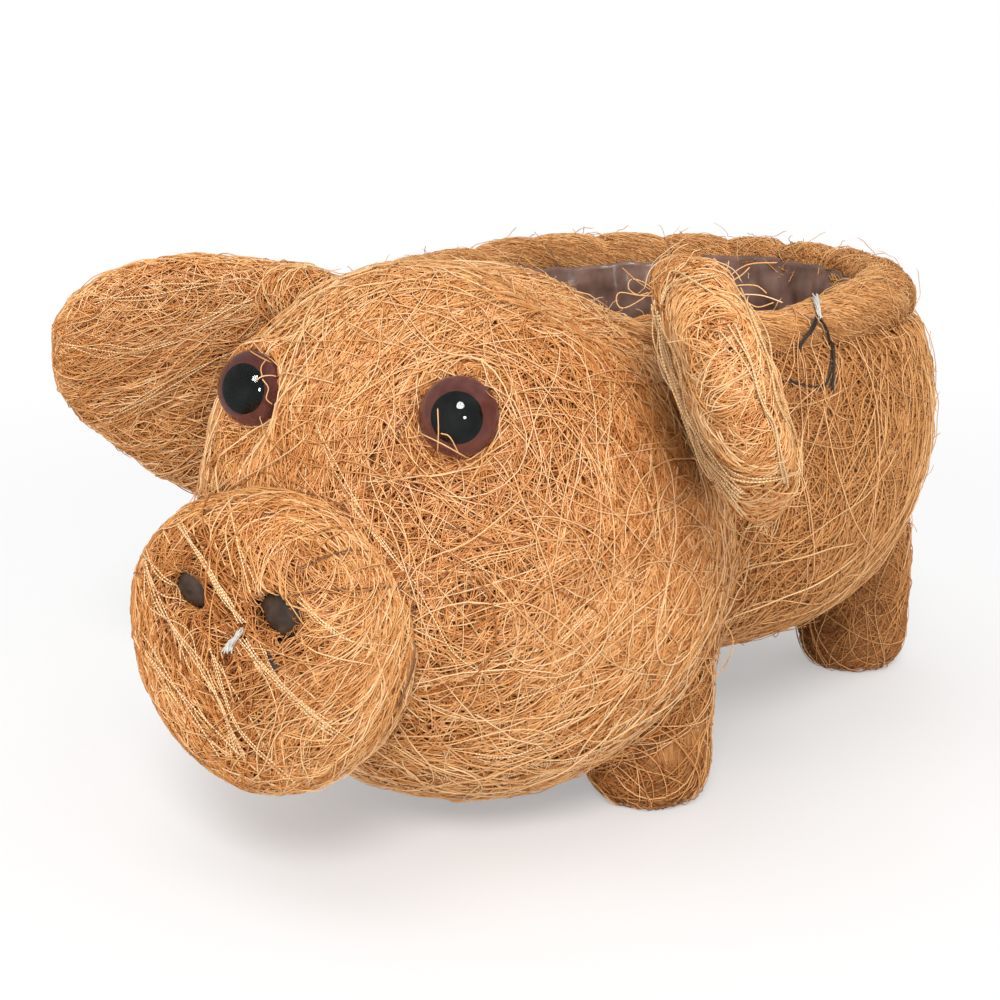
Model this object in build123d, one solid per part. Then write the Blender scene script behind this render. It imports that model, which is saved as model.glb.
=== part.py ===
from build123d import *
import math
import os

# A pig planter of coconut fibre bound over a wire frame, in millimetres.
# While it is built, +Z is up, the snout points along -Y and the pig's left side is +X.
# The upright axis of the tub is X = Y = 0, and the feet stand on Z = 0.
# At the end every piece moves by one step, to the bottom centre of the whole planter's box.

# Tub, round about the Z axis. Its outside runs from the underside up to the seat of the rim roll.
TUB_RADIUS = 85.5
TUB_HEIGHT = 87.0
TUB_UNDERSIDE_Z = 30.0
# Points of the outside: radius as a share of the tub's, height as a share of the tub's.
TUB_OUTLINE_SHARES = (
    (0.47, 0.0),
    (0.70, 0.085),
    (0.86, 0.23),
    (0.94, 0.37),
    (0.986, 0.52),
    (1.0, 0.70),
    (0.988, 0.86),
    (0.966, 0.94),
    (0.942, 1.0),
)

# Hollow of the tub, which the liner of plastic film fills.
TUB_WALL = 21.0
TUB_FLOOR = 14.0
# Points of the hollow: radius as a share of the hollow's, height as a share of its depth.
HOLLOW_OUTLINE_SHARES = (
    (0.71, 0.0),
    (0.87, 0.09),
    (0.955, 0.30),
    (1.0, 0.62),
    (0.961, 1.0),
)
LINER_WALL = 0.8
LINER_ABOVE_TUB = 1.0

# Rim roll, sunk a little into the tub's top, and the thin ties that pinch it.
ROLL_THICKNESS = 17.0
ROLL_SINK = 2.5
TIE_COUNT = 8
TIE_WIRE = 0.8
TIE_FIRST_ANGLE = -25.0
TIE_LAST_ANGLE = 220.0

# Head: a ball of round slices along Y, cut by the tub. Its centre lies just inside the tub's side.
HEAD_RADIUS = 69.2
HEAD_CENTRE_INSIDE_TUB = 5.5
CHIN_ABOVE_GROUND = 3.8
# Angles of the slices about the ball's centre, from the snout end to the tub end, in degrees.
HEAD_SLICE_ANGLES = (-80.0, -65.0, -48.0, -32.0, -16.0, 0.0, 16.0, 33.0)
# The part of the head that laps over the front of the roll reaches this far inside the roll's middle.
HEAD_LIP = 12.5

# Snout: a thick bun of round slices along Y.
SNOUT_RADIUS = 35.5
SNOUT_BELOW_HEAD_CENTRE = 10.0
SNOUT_AHEAD_OF_FACE = 18.6
SNOUT_DEPTH = 32.0
# Depth of a slice behind the front, and its radius, as shares of the snout's depth and radius.
SNOUT_SLICE_SHARES = (
    (0.0, 0.66),
    (0.03, 0.80),
    (0.09, 0.905),
    (0.19, 0.972),
    (0.33, 1.0),
    (0.5, 0.995),
    (0.72, 0.965),
    (1.0, 0.92),
)
# The nostrils are bound in by hand, a little to the pig's left of the middle.
NOSTRIL_SPACING = 26.0
NOSTRILS_TO_LEFT = 2.5
NOSTRIL_ABOVE_SNOUT_CENTRE = 12.3
NOSTRIL_RADIUS = 5.5
NOSTRIL_DEPTH = 7.0
NOSTRIL_TUFT_DEPTH = 4.5
KNOT_RADIUS = 1.9
SNOUT_KNOT_BELOW_NOSTRILS = 8.5

# Eyes: a clear brown dome over a black pupil, on a post pushed into the head.
EYE_DIAMETER = 18.0
EYE_DOME_RISE = 6.5
EYE_EDGE = 2.0
PUPIL_DIAMETER = 11.4
PUPIL_THICKNESS = 1.0
POST_DIAMETER = 4.0
POST_LENGTH = 13.0
EYE_SEAT_DEPTH = 1.8
# Where each eye sits on the ball and where it looks: degrees outward from the snout and upward.
# They are pushed in by hand, so they differ.
LEFT_EYE_SEAT = (36.3, 34.8)
LEFT_EYE_LOOK = (27.0, 7.0)
RIGHT_EYE_SEAT = (26.4, 35.2)
RIGHT_EYE_LOOK = (-1.0, 9.0)

# Ears: thick pads of oval slices that run outward and forward from the head.
EAR_THICKNESS = 18.5
EAR_SWEEP = 52.0
EAR_LEAN = 20.0
# Distance out along the ear, as a share of its length, with the slice's height, thickness and rise.
# The three are shares of the ear's height, thickness and height.
EAR_SLICE_SHARES = (
    (-0.30, 0.80, 0.80, 0.05),
    (-0.10, 0.92, 0.90, 0.01),
    (0.12, 0.99, 0.97, 0.0),
    (0.34, 0.97, 1.0, 0.02),
    (0.56, 0.87, 0.99, 0.05),
    (0.76, 0.71, 0.93, 0.08),
    (0.91, 0.50, 0.76, 0.10),
    (1.0, 0.26, 0.45, 0.11),
)
# The radius of a slice's ends, as a share of half its thickness.
EAR_END_ROUND_SHARE = 0.82
# The two ears are bound on by hand, so each has its own size and place.
# A place is outward, forward and up from the head's centre, as shares of the head's radius.
LEFT_EAR_LENGTH = 52.0
LEFT_EAR_HEIGHT = 63.0
LEFT_EAR_ROOT_SHARES = (1.055, 0.029, 0.643)
RIGHT_EAR_LENGTH = 53.0
RIGHT_EAR_HEIGHT = 68.0
RIGHT_EAR_ROOT_SHARES = (0.975, 0.072, 0.477)

# Legs: stubs of round slices, cut flat at the ground.
LEG_RADIUS = 17.0
LEG_HEIGHT = 66.0
FOOT_FLAT_CUT = 0.5
# A leg's distance from the tub's axis to the side, ahead and behind, as shares of the tub's radius.
LEG_SIDE_SHARE = 0.485
FRONT_LEG_SHARE = 0.667
REAR_LEG_SHARE = 0.772
# Height of a slice and its radius, as shares of the leg's height and radius.
LEG_SLICE_SHARES = (
    (0.0, 0.50),
    (0.02, 0.68),
    (0.07, 0.84),
    (0.15, 0.95),
    (0.28, 1.0),
    (0.48, 1.0),
    (0.68, 0.99),
    (0.84, 0.86),
    (0.95, 0.60),
    (1.0, 0.34),
)

# Frame of steel wire inside the fibre.
FRAME_WIRE = 2.6
RIB_COUNT = 6
RIB_FIRST_ANGLE = 30.0
# Heights of the top ring and of a rib's shoulder and knee, as shares of the tub's height. The base
# ring's radius is a share of the tub's, and the hoop's radius and place are shares of the head's radius.
TOP_RING_SHARE = 0.88
RIB_SHOULDER_SHARE = 0.58
RIB_KNEE_SHARE = 0.28
BASE_RING_SHARE = 0.49
LEG_WIRE_FOOT_GAP = 6.0
LEG_WIRE_INTO_TUB = 48.0
HOOP_RADIUS_SHARE = 0.665
HOOP_AHEAD_SHARE = 0.26
SNOUT_RING_RADIUS = 25.0
SNOUT_RING_BEHIND_FRONT = 14.0
NECK_WIRE_RISE_ANGLE = 25.0
NECK_WIRE_INTO_TUB = 12.0
EAR_WIRE = 1.8
# Corners of an ear's wire, as shares of the ear's length and height.
EAR_WIRE_SHARES = ((-0.24, -0.17), (0.80, -0.16), (0.80, 0.30), (-0.24, 0.17))
EAR_WIRE_CORNER_SHARE = 0.2
WIRE_GAP = 0.15

# The loose dark wire that ties the liner down at the near side of the rim.
LINER_TIE_WIRE = 0.9
LINER_TIE_ANGLE = -22.0
LINER_TIE_DROP = 8.0
LINER_TIE_TAIL_ANGLE = -36.0
LINER_TIE_TAIL_DROP = 2.5
# A thin wire that lies on the fibre stands off it by this much.
LAY_GAP = 0.1

# One overrun serves every cut.
OVERRUN = 5.0

# Sizes that follow from the ones above.
TUB_TOP_Z = TUB_UNDERSIDE_Z + TUB_HEIGHT
HOLLOW_RADIUS = TUB_RADIUS - TUB_WALL
HOLLOW_FLOOR_Z = TUB_UNDERSIDE_Z + TUB_FLOOR
HOLLOW_DEPTH = TUB_TOP_Z - HOLLOW_FLOOR_Z
MOUTH_RADIUS = HOLLOW_RADIUS * HOLLOW_OUTLINE_SHARES[-1][0]
ROLL_CENTRE_RADIUS = MOUTH_RADIUS + ROLL_THICKNESS / 2
ROLL_CENTRE_Z = TUB_TOP_Z + ROLL_THICKNESS / 2 - ROLL_SINK
HEAD_Z = HEAD_RADIUS + CHIN_ABOVE_GROUND
HEAD_CENTRE = Vector(0, HEAD_CENTRE_INSIDE_TUB - TUB_RADIUS, HEAD_Z)
SNOUT_Z = HEAD_Z - SNOUT_BELOW_HEAD_CENTRE
SNOUT_FRONT_Y = HEAD_CENTRE.Y - HEAD_RADIUS - SNOUT_AHEAD_OF_FACE
BASE_RING_RADIUS = TUB_RADIUS * BASE_RING_SHARE
HOOP_RADIUS = HEAD_RADIUS * HOOP_RADIUS_SHARE
HOOP_Y = HEAD_CENTRE.Y - HEAD_RADIUS * HOOP_AHEAD_SHARE

UP = (Align.CENTER, Align.CENTER, Align.MIN)
DOWN = (Align.CENTER, Align.CENTER, Align.MAX)


def turned(points, top_z):
    # An outline of (radius, height) points, closed along the upright axis and turned about it.
    bottom_z = points[0][1]
    lines = [Line((0, bottom_z), points[0]), Spline(*points)]
    last = points[-1]
    if top_z > last[1]:
        lines.append(Line(last, (last[0], top_z)))
        last = (last[0], top_z)
    lines += [Line(last, (0, top_z)), Line((0, top_z), (0, bottom_z))]
    return revolve(Plane.XZ * make_face(lines), axis=Axis.Z)


def tub_body():
    points = [(TUB_RADIUS * r, TUB_UNDERSIDE_Z + TUB_HEIGHT * z) for r, z in TUB_OUTLINE_SHARES]
    return turned(points, TUB_TOP_Z)


def hollow(inset, top_z):
    # The space inside the tub, or the liner's own space when it is inset by the liner's wall.
    points = []
    for r, z in HOLLOW_OUTLINE_SHARES:
        height = HOLLOW_FLOOR_Z + inset + (HOLLOW_DEPTH - inset) * z
        points.append((HOLLOW_RADIUS * r - inset, height))
    return turned(points, top_z)


def radius_at(shares, radius, share):
    # The radius of an outline at a height, between its two nearest points.
    for (low_r, low_z), (high_r, high_z) in zip(shares, shares[1:]):
        if low_z <= share <= high_z:
            return radius * (low_r + (high_r - low_r) * (share - low_z) / (high_z - low_z))
    return radius * shares[-1][0]


def tub_side(z):
    return radius_at(TUB_OUTLINE_SHARES, TUB_RADIUS, (z - TUB_UNDERSIDE_Z) / TUB_HEIGHT)


def wall_middle(share):
    # The middle of the tub's wall, as (radius, height), at a share of the tub's height.
    z = TUB_UNDERSIDE_Z + TUB_HEIGHT * share
    inside = radius_at(HOLLOW_OUTLINE_SHARES, HOLLOW_RADIUS, max(0, (z - HOLLOW_FLOOR_Z) / HOLLOW_DEPTH))
    return (tub_side(z) + inside) / 2, z


def ring(radius, wire, plane, bore=0):
    # A round wire ring about the plane's normal, or a pipe where it has a bore.
    middle = plane.origin + plane.x_dir * radius
    section = Plane(middle, x_dir=plane.x_dir, z_dir=plane.z_dir.cross(plane.x_dir))
    face = Circle(wire / 2)
    if bore:
        face = face - Circle(bore / 2)
    return revolve(section * face, axis=Axis(plane.origin, plane.z_dir))


def swept_wire(path, wire):
    start = Plane(path @ 0, z_dir=path % 0)
    return sweep(start * Circle(wire / 2), path=path)


def round_slice(plane, radius):
    # A circle of four quarter arcs, so that every slice of a loft has the same corners.
    half = radius * math.sqrt(0.5)
    corners = [(half, half), (-half, half), (-half, -half), (half, -half)]
    tops = [(0, radius), (-radius, 0), (0, -radius), (radius, 0)]
    arcs = [ThreePointArc(corners[i], tops[i], corners[(i + 1) % 4]) for i in range(4)]
    return plane * make_face(arcs)


def oval_slice(plane, half_width, half_height):
    # An upright oval of four arcs: two round ends and two long flanks that run into them.
    end = half_width * EAR_END_ROUND_SHARE
    reach = half_height - end
    flank = (reach**2 + half_width**2 - end**2) / (2 * (half_width - end))
    joint = math.atan2(reach, flank - half_width)
    x = end * math.cos(joint)
    y = reach + end * math.sin(joint)
    arcs = [
        ThreePointArc((x, y), (0, half_height), (-x, y)),
        ThreePointArc((-x, y), (-half_width, 0), (-x, -y)),
        ThreePointArc((-x, -y), (0, -half_height), (x, -y)),
        ThreePointArc((x, -y), (half_width, 0), (x, y)),
    ]
    return plane * make_face(arcs)


def on_rim(angle, radius, z):
    # A point about the tub's axis, by its angle in degrees.
    turn = math.radians(angle)
    return Vector(radius * math.cos(turn), radius * math.sin(turn), z)


def facing(turn, rise):
    # A direction from the head: degrees outward from straight ahead, then degrees upward.
    out = math.radians(turn)
    up = math.radians(rise)
    return Vector(math.sin(out) * math.cos(up), -math.cos(out) * math.cos(up), math.sin(up))


def across_y(y, z):
    # A plane square to Y, with X to its right.
    return Plane((0, y, z), x_dir=(1, 0, 0), z_dir=(0, 1, 0))


def rim_tie(angle):
    # A thin tie over the roll, its two ends on the tub's top.
    outward = on_rim(angle, 1, 0)
    middle = on_rim(angle, ROLL_CENTRE_RADIUS, ROLL_CENTRE_Z)
    section = Plane(middle, x_dir=outward, z_dir=outward.cross(Vector(0, 0, 1)))
    loop = ring(ROLL_THICKNESS / 2 + TIE_WIRE / 2 + LAY_GAP, TIE_WIRE, section)
    below = Pos(middle.X, middle.Y, TUB_TOP_Z) * Cylinder(ROLL_THICKNESS, ROLL_THICKNESS, align=DOWN)
    return loop - below


def head_ball():
    slices = []
    for angle in HEAD_SLICE_ANGLES:
        turn = math.radians(angle)
        plane = across_y(HEAD_CENTRE.Y + HEAD_RADIUS * math.sin(turn), HEAD_Z)
        slices.append(round_slice(plane, HEAD_RADIUS * math.cos(turn)))
    return loft(slices)


def snout_bun():
    slices = []
    for depth, width in SNOUT_SLICE_SHARES:
        plane = across_y(SNOUT_FRONT_Y + SNOUT_DEPTH * depth, SNOUT_Z)
        slices.append(round_slice(plane, SNOUT_RADIUS * width))
    return loft(slices)


def leg_stub(x, y):
    slices = []
    for height, width in LEG_SLICE_SHARES:
        plane = Plane((x, y, LEG_HEIGHT * height - FOOT_FLAT_CUT))
        slices.append(round_slice(plane, LEG_RADIUS * width))
    return loft(slices) - Pos(x, y, 0) * Cylinder(LEG_RADIUS, OVERRUN, align=DOWN)


def ear_axes(side):
    # The directions along the ear and up it.
    sweep_angle = math.radians(EAR_SWEEP)
    lean = math.radians(EAR_LEAN)
    out = Vector(side * math.cos(sweep_angle), -math.sin(sweep_angle), 0)
    level = Vector(side * math.sin(sweep_angle), math.cos(sweep_angle), 0)
    return out, Vector(0, 0, math.cos(lean)) - level * math.sin(lean)


def ear_root(side, root_shares):
    outward, forward, up = root_shares
    return HEAD_CENTRE + Vector(side * outward, -forward, up) * HEAD_RADIUS


def ear_pad(side, root_shares, length, height):
    out, up = ear_axes(side)
    slices = []
    for reach, tall, thick, rise in EAR_SLICE_SHARES:
        middle = ear_root(side, root_shares) + out * (length * reach) + up * (height * rise)
        plane = Plane(middle, x_dir=out.cross(up), z_dir=out)
        slices.append(oval_slice(plane, EAR_THICKNESS / 2 * thick, height / 2 * tall))
    return loft(slices)


def ear_wire(side, root_shares, length, height):
    out, up = ear_axes(side)
    corners = [ear_root(side, root_shares) + out * (length * x) + up * (height * y) for x, y in EAR_WIRE_SHARES]
    return swept_wire(FilletPolyline(*corners, radius=height * EAR_WIRE_CORNER_SHARE), EAR_WIRE)


def eye_plane(side, seat_angles, look_angles):
    # The eye's seat on the head ball, its Z axis pointing out of the face.
    turn, rise = seat_angles
    look_turn, look_rise = look_angles
    seat = HEAD_CENTRE + facing(side * turn, rise) * HEAD_RADIUS
    look = facing(side * look_turn, look_rise)
    return Plane(seat - look * EYE_SEAT_DEPTH, x_dir=Vector(0, 0, 1).cross(look), z_dir=look)


def eye_dome(plane):
    # A shallow dome on a short straight edge.
    half = EYE_DIAMETER / 2
    crown = EYE_EDGE + EYE_DOME_RISE
    ball = (half**2 + EYE_DOME_RISE**2) / (2 * EYE_DOME_RISE)
    bend = math.asin(half / ball) / 2
    middle = (ball * math.sin(bend), crown - ball * (1 - math.cos(bend)))
    outline = make_face([
        Line((0, 0), (half, 0)),
        Line((half, 0), (half, EYE_EDGE)),
        ThreePointArc((half, EYE_EDGE), middle, (0, crown)),
        Line((0, crown), (0, 0)),
    ])
    return plane * revolve(Plane.XZ * outline, axis=Axis.Z)


def nostril(side, depth):
    # A round pit in the snout's face, or the tuft of dark film at its bottom.
    x = NOSTRILS_TO_LEFT + side * NOSTRIL_SPACING / 2
    z = SNOUT_Z + NOSTRIL_ABOVE_SNOUT_CENTRE
    back = Plane((x, SNOUT_FRONT_Y + NOSTRIL_DEPTH, z), x_dir=(1, 0, 0), z_dir=(0, -1, 0))
    return back * Cylinder(NOSTRIL_RADIUS, depth, align=UP)


def frame_rib(angle):
    # One rib in its own upright plane, in the middle of the wall, between the two rings.
    outward = on_rim(angle, 1, 0)
    upright = Plane((0, 0, 0), x_dir=outward, z_dir=outward.cross(Vector(0, 0, 1)))
    top_radius, top_z = wall_middle(TOP_RING_SHARE)
    knee = wall_middle(RIB_KNEE_SHARE)
    upper = ThreePointArc((top_radius, top_z - FRAME_WIRE / 2 - WIRE_GAP), wall_middle(RIB_SHOULDER_SHARE), knee)
    base_z = TUB_UNDERSIDE_Z + TUB_FLOOR / 2
    lower = TangentArc(knee, (BASE_RING_RADIUS + FRAME_WIRE / 2 + WIRE_GAP, base_z), tangent=upper % 1)
    return swept_wire(upright * Wire([upper, lower]), FRAME_WIRE)


def leg_wire(x, y):
    return Pos(x, y, LEG_WIRE_FOOT_GAP) * Cylinder(
        FRAME_WIRE / 2, TUB_UNDERSIDE_Z + LEG_WIRE_INTO_TUB - LEG_WIRE_FOOT_GAP, align=UP
    )


def neck_wire(side):
    # A straight wire from the tub's front wall to the head hoop, lying just inside the hoop.
    rise = math.radians(NECK_WIRE_RISE_ANGLE)
    reach = HOOP_RADIUS - FRAME_WIRE - WIRE_GAP
    x = reach * math.cos(rise)
    z = HEAD_Z + reach * math.sin(rise)
    wall_y = -math.sqrt(tub_side(z) ** 2 - x**2)
    rear = Plane((side * x, wall_y + NECK_WIRE_INTO_TUB, z), x_dir=(1, 0, 0), z_dir=(0, -1, 0))
    return rear * Cylinder(FRAME_WIRE / 2, rear.origin.Y - HOOP_Y + FRAME_WIRE, align=UP)


def liner_tie():
    # The wire lies over the roll, runs down the tub's side and turns back along it.
    off = LINER_TIE_WIRE / 2 + LAY_GAP
    arm = ROLL_THICKNESS / 2 + off
    low_z = TUB_TOP_Z - LINER_TIE_DROP
    tail_z = TUB_TOP_Z - LINER_TIE_TAIL_DROP
    top = on_rim(LINER_TIE_ANGLE, ROLL_CENTRE_RADIUS, ROLL_CENTRE_Z + arm)
    slant = arm * math.sqrt(0.5)
    crest = on_rim(LINER_TIE_ANGLE, ROLL_CENTRE_RADIUS + slant, ROLL_CENTRE_Z + slant)
    side = on_rim(LINER_TIE_ANGLE, ROLL_CENTRE_RADIUS + arm, ROLL_CENTRE_Z)
    low = on_rim(LINER_TIE_ANGLE, tub_side(low_z) + off, low_z)
    tail = on_rim(LINER_TIE_TAIL_ANGLE, tub_side(tail_z) + off, tail_z)
    middle_z = (low_z + tail_z) / 2
    middle = on_rim((LINER_TIE_ANGLE + LINER_TIE_TAIL_ANGLE) / 2, tub_side(middle_z) + off, middle_z)
    runs = [ThreePointArc(top, crest, side), Line(side, low), ThreePointArc(low, middle, tail)]
    tie = Part() + [swept_wire(run, LINER_TIE_WIRE) for run in runs]
    return tie + [Pos(*point) * Sphere(LINER_TIE_WIRE / 2) for point in (side, low)]


os.makedirs("parts", exist_ok=True)
nodes = {}

# Shapes that cut their neighbours.
body = tub_body()
ball = head_ball()
rim_plane = Plane((0, 0, ROLL_CENTRE_Z))
roll = ring(ROLL_CENTRE_RADIUS, ROLL_THICKNESS, rim_plane)
mouth = Pos(0, 0, TUB_TOP_Z) * Cylinder(ROLL_CENTRE_RADIUS - HEAD_LIP, HEAD_RADIUS, align=UP)
liner_brim = Pos(0, 0, TUB_TOP_Z) * Cylinder(MOUTH_RADIUS, LINER_ABOVE_TUB, align=UP)

# The wire frame.
ribs = {}
for number in range(RIB_COUNT):
    ribs[f"frame_rib_{number + 1}"] = frame_rib(RIB_FIRST_ANGLE + 360 / RIB_COUNT * number)
top_radius, top_z = wall_middle(TOP_RING_SHARE)
rings = {
    "frame_top_ring": ring(top_radius, FRAME_WIRE, Plane((0, 0, top_z))),
    "frame_base_ring": ring(BASE_RING_RADIUS, FRAME_WIRE, Plane((0, 0, TUB_UNDERSIDE_Z + TUB_FLOOR / 2))),
}
rim_ring = ring(ROLL_CENTRE_RADIUS, FRAME_WIRE, rim_plane)
hoop = ring(HOOP_RADIUS, FRAME_WIRE, across_y(HOOP_Y, HEAD_Z))
snout_ring = ring(SNOUT_RING_RADIUS, FRAME_WIRE, across_y(SNOUT_FRONT_Y + SNOUT_RING_BEHIND_FRONT, SNOUT_Z))
leg_x = TUB_RADIUS * LEG_SIDE_SHARE
front_y = -TUB_RADIUS * FRONT_LEG_SHARE
rear_y = TUB_RADIUS * REAR_LEG_SHARE
leg_places = {
    "front_left": (leg_x, front_y),
    "front_right": (-leg_x, front_y),
    "rear_left": (leg_x, rear_y),
    "rear_right": (-leg_x, rear_y),
}
leg_wires = {f"frame_leg_{name}": leg_wire(x, y) for name, (x, y) in leg_places.items()}
neck_wires = {"frame_neck_left": neck_wire(1), "frame_neck_right": neck_wire(-1)}
ear_sizes = {
    "left": (1, LEFT_EAR_ROOT_SHARES, LEFT_EAR_LENGTH, LEFT_EAR_HEIGHT),
    "right": (-1, RIGHT_EAR_ROOT_SHARES, RIGHT_EAR_LENGTH, RIGHT_EAR_HEIGHT),
}
ear_wires = {f"frame_ear_{name}": ear_wire(*sizes) for name, sizes in ear_sizes.items()}

# The pieces of fibre, each cut by the larger ones and by the wires inside it.
tub = body - hollow(0, TUB_TOP_Z + OVERRUN)
for cutter in [roll, *rings.values(), *ribs.values(), *leg_wires.values(), *neck_wires.values()]:
    tub = tub - cutter
nodes["tub_coir"] = tub

rim_knot = Pos(*on_rim(LINER_TIE_ANGLE, ROLL_CENTRE_RADIUS, ROLL_CENTRE_Z + ROLL_THICKNESS / 2)) * Sphere(KNOT_RADIUS)
nodes["rim_roll"] = ring(ROLL_CENTRE_RADIUS, ROLL_THICKNESS, rim_plane, bore=FRAME_WIRE) - rim_knot
nodes["rim_knot"] = rim_knot
nodes["liner_tie"] = liner_tie() - rim_knot
ties = {}
tie_step = (TIE_LAST_ANGLE - TIE_FIRST_ANGLE) / (TIE_COUNT - 1)
for number in range(TIE_COUNT):
    ties[f"rim_tie_{number + 1}"] = rim_tie(TIE_FIRST_ANGLE + tie_step * number)

liner_top = TUB_TOP_Z + LINER_ABOVE_TUB
nodes["liner"] = hollow(0, liner_top) - hollow(LINER_WALL, liner_top + OVERRUN)

snout = snout_bun() - ball - snout_ring
head = ball - body - roll - mouth - liner_brim - hoop
for cutter in [*neck_wires.values(), *ear_wires.values(), *leg_wires.values(), *ties.values()]:
    head = head - cutter
eye_angles = (("left", 1, LEFT_EYE_SEAT, LEFT_EYE_LOOK), ("right", -1, RIGHT_EYE_SEAT, RIGHT_EYE_LOOK))
for side_name, side, seat_angles, look_angles in eye_angles:
    plane = eye_plane(side, seat_angles, look_angles)
    dome = eye_dome(plane)
    pupil = plane * Cylinder(PUPIL_DIAMETER / 2, PUPIL_THICKNESS, align=UP)
    post = plane * Cylinder(POST_DIAMETER / 2, POST_LENGTH, align=DOWN)
    head = head - dome - post
    nodes[f"eye_dome_{side_name}"] = dome - pupil
    nodes[f"eye_pupil_{side_name}"] = pupil
    nodes[f"eye_post_{side_name}"] = post
    snout = snout - nostril(side, NOSTRIL_DEPTH + OVERRUN)
    nodes[f"nostril_tuft_{side_name}"] = nostril(side, NOSTRIL_TUFT_DEPTH)
nodes["head_coir"] = head
for name, tie in ties.items():
    nodes[name] = tie

knot_z = SNOUT_Z + NOSTRIL_ABOVE_SNOUT_CENTRE - SNOUT_KNOT_BELOW_NOSTRILS
snout_knot = Pos(NOSTRILS_TO_LEFT, SNOUT_FRONT_Y, knot_z) * Sphere(KNOT_RADIUS)
nodes["snout_coir"] = snout - snout_knot
nodes["snout_knot"] = snout_knot

for side_name, sizes in ear_sizes.items():
    nodes[f"ear_coir_{side_name}"] = ear_pad(*sizes) - ball - body - roll - ear_wires[f"frame_ear_{side_name}"]

for name, (x, y) in leg_places.items():
    nodes[f"leg_coir_{name}"] = leg_stub(x, y) - body - ball - leg_wires[f"frame_leg_{name}"]

# The frame, piece by piece.
nodes["frame_rim_ring"] = rim_ring
nodes["frame_head_hoop"] = hoop
nodes["frame_snout_ring"] = snout_ring
for wires in (rings, ribs, leg_wires, neck_wires, ear_wires):
    nodes.update(wires)

# Every piece moves to the bottom centre of the whole planter's box.
boxes = [piece.bounding_box() for piece in nodes.values()]
low = Vector(min(box.min.X for box in boxes), min(box.min.Y for box in boxes), min(box.min.Z for box in boxes))
high = Vector(max(box.max.X for box in boxes), max(box.max.Y for box in boxes), max(box.max.Z for box in boxes))
shift = Pos(-(low.X + high.X) / 2, -(low.Y + high.Y) / 2, -low.Z)
for name, piece in nodes.items():
    export_step(shift * piece, f"parts/{name}.step")
print("moved by", shift.position, "size", high - low)
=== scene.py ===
import math

import bmesh
import bpy
import numpy as np
from mathutils import Matrix, Vector, noise
from mathutils.bvhtree import BVHTree


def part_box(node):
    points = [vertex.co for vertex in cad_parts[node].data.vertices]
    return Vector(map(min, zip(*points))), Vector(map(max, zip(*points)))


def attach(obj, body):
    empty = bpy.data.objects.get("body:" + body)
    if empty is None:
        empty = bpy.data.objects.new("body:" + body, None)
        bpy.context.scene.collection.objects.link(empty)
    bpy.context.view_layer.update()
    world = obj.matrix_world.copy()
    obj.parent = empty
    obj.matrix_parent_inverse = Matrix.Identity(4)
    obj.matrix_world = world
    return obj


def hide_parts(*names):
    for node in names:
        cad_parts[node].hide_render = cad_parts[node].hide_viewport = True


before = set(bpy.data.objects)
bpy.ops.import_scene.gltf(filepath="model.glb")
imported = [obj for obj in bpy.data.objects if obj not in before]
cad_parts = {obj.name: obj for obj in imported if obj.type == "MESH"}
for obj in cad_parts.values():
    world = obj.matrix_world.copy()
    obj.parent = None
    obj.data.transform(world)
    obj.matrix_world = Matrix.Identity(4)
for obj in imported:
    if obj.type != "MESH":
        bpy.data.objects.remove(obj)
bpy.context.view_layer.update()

# A pig planter of coconut fibre. Lengths are in metres, and MM turns millimetres into metres.
MM = 0.001
draws = np.random.default_rng(41)

# The tub's upright axis, which the camera and the forms are placed from.
roll_low, roll_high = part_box("rim_roll")
TUB_AXIS = Vector(((roll_low.x + roll_high.x) / 2, (roll_low.y + roll_high.y) / 2, 0.0))


def from_tub(x, y, z):
    # A point by its place from the tub's axis on the floor, in millimetres.
    return TUB_AXIS + Vector((x, y, z)) * MM


def new_object(name, data):
    piece = bpy.data.objects.new(name, data)
    bpy.context.scene.collection.objects.link(piece)
    return piece


# Camera, at the photograph's viewing angle.
CAMERA_PLACE = from_tub(259.17, -413.83, 191.4)
CAMERA_TURN = math.radians(36.65)
CAMERA_DROP = math.radians(14.97)
CAMERA_ROLL = math.radians(-0.3)
PICTURE = 1000
FOCAL_PIXELS = 1707.9
SENSOR = 36.0

level = Vector((math.cos(CAMERA_TURN), math.sin(CAMERA_TURN), 0))
ahead = Vector((
    -math.sin(CAMERA_TURN) * math.cos(CAMERA_DROP),
    math.cos(CAMERA_TURN) * math.cos(CAMERA_DROP),
    -math.sin(CAMERA_DROP),
))
upright = level.cross(ahead)
camera_right = level * math.cos(CAMERA_ROLL) + upright * math.sin(CAMERA_ROLL)
camera_up = upright * math.cos(CAMERA_ROLL) - level * math.sin(CAMERA_ROLL)

camera_data = bpy.data.cameras.new("camera")
camera_data.sensor_width = SENSOR
camera_data.lens = FOCAL_PIXELS * SENSOR / PICTURE
camera = new_object("camera", camera_data)
camera.matrix_world = Matrix((
    (camera_right.x, camera_up.x, -ahead.x, CAMERA_PLACE.x),
    (camera_right.y, camera_up.y, -ahead.y, CAMERA_PLACE.y),
    (camera_right.z, camera_up.z, -ahead.z, CAMERA_PLACE.z),
    (0, 0, 0, 1),
))
bpy.context.scene.camera = camera


def sight(x, y):
    # The direction in which a pixel of the photograph looks.
    across = camera_right * ((x - PICTURE / 2) / FOCAL_PIXELS)
    down = camera_up * ((y - PICTURE / 2) / FOCAL_PIXELS)
    return (ahead + across - down).normalized()


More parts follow.
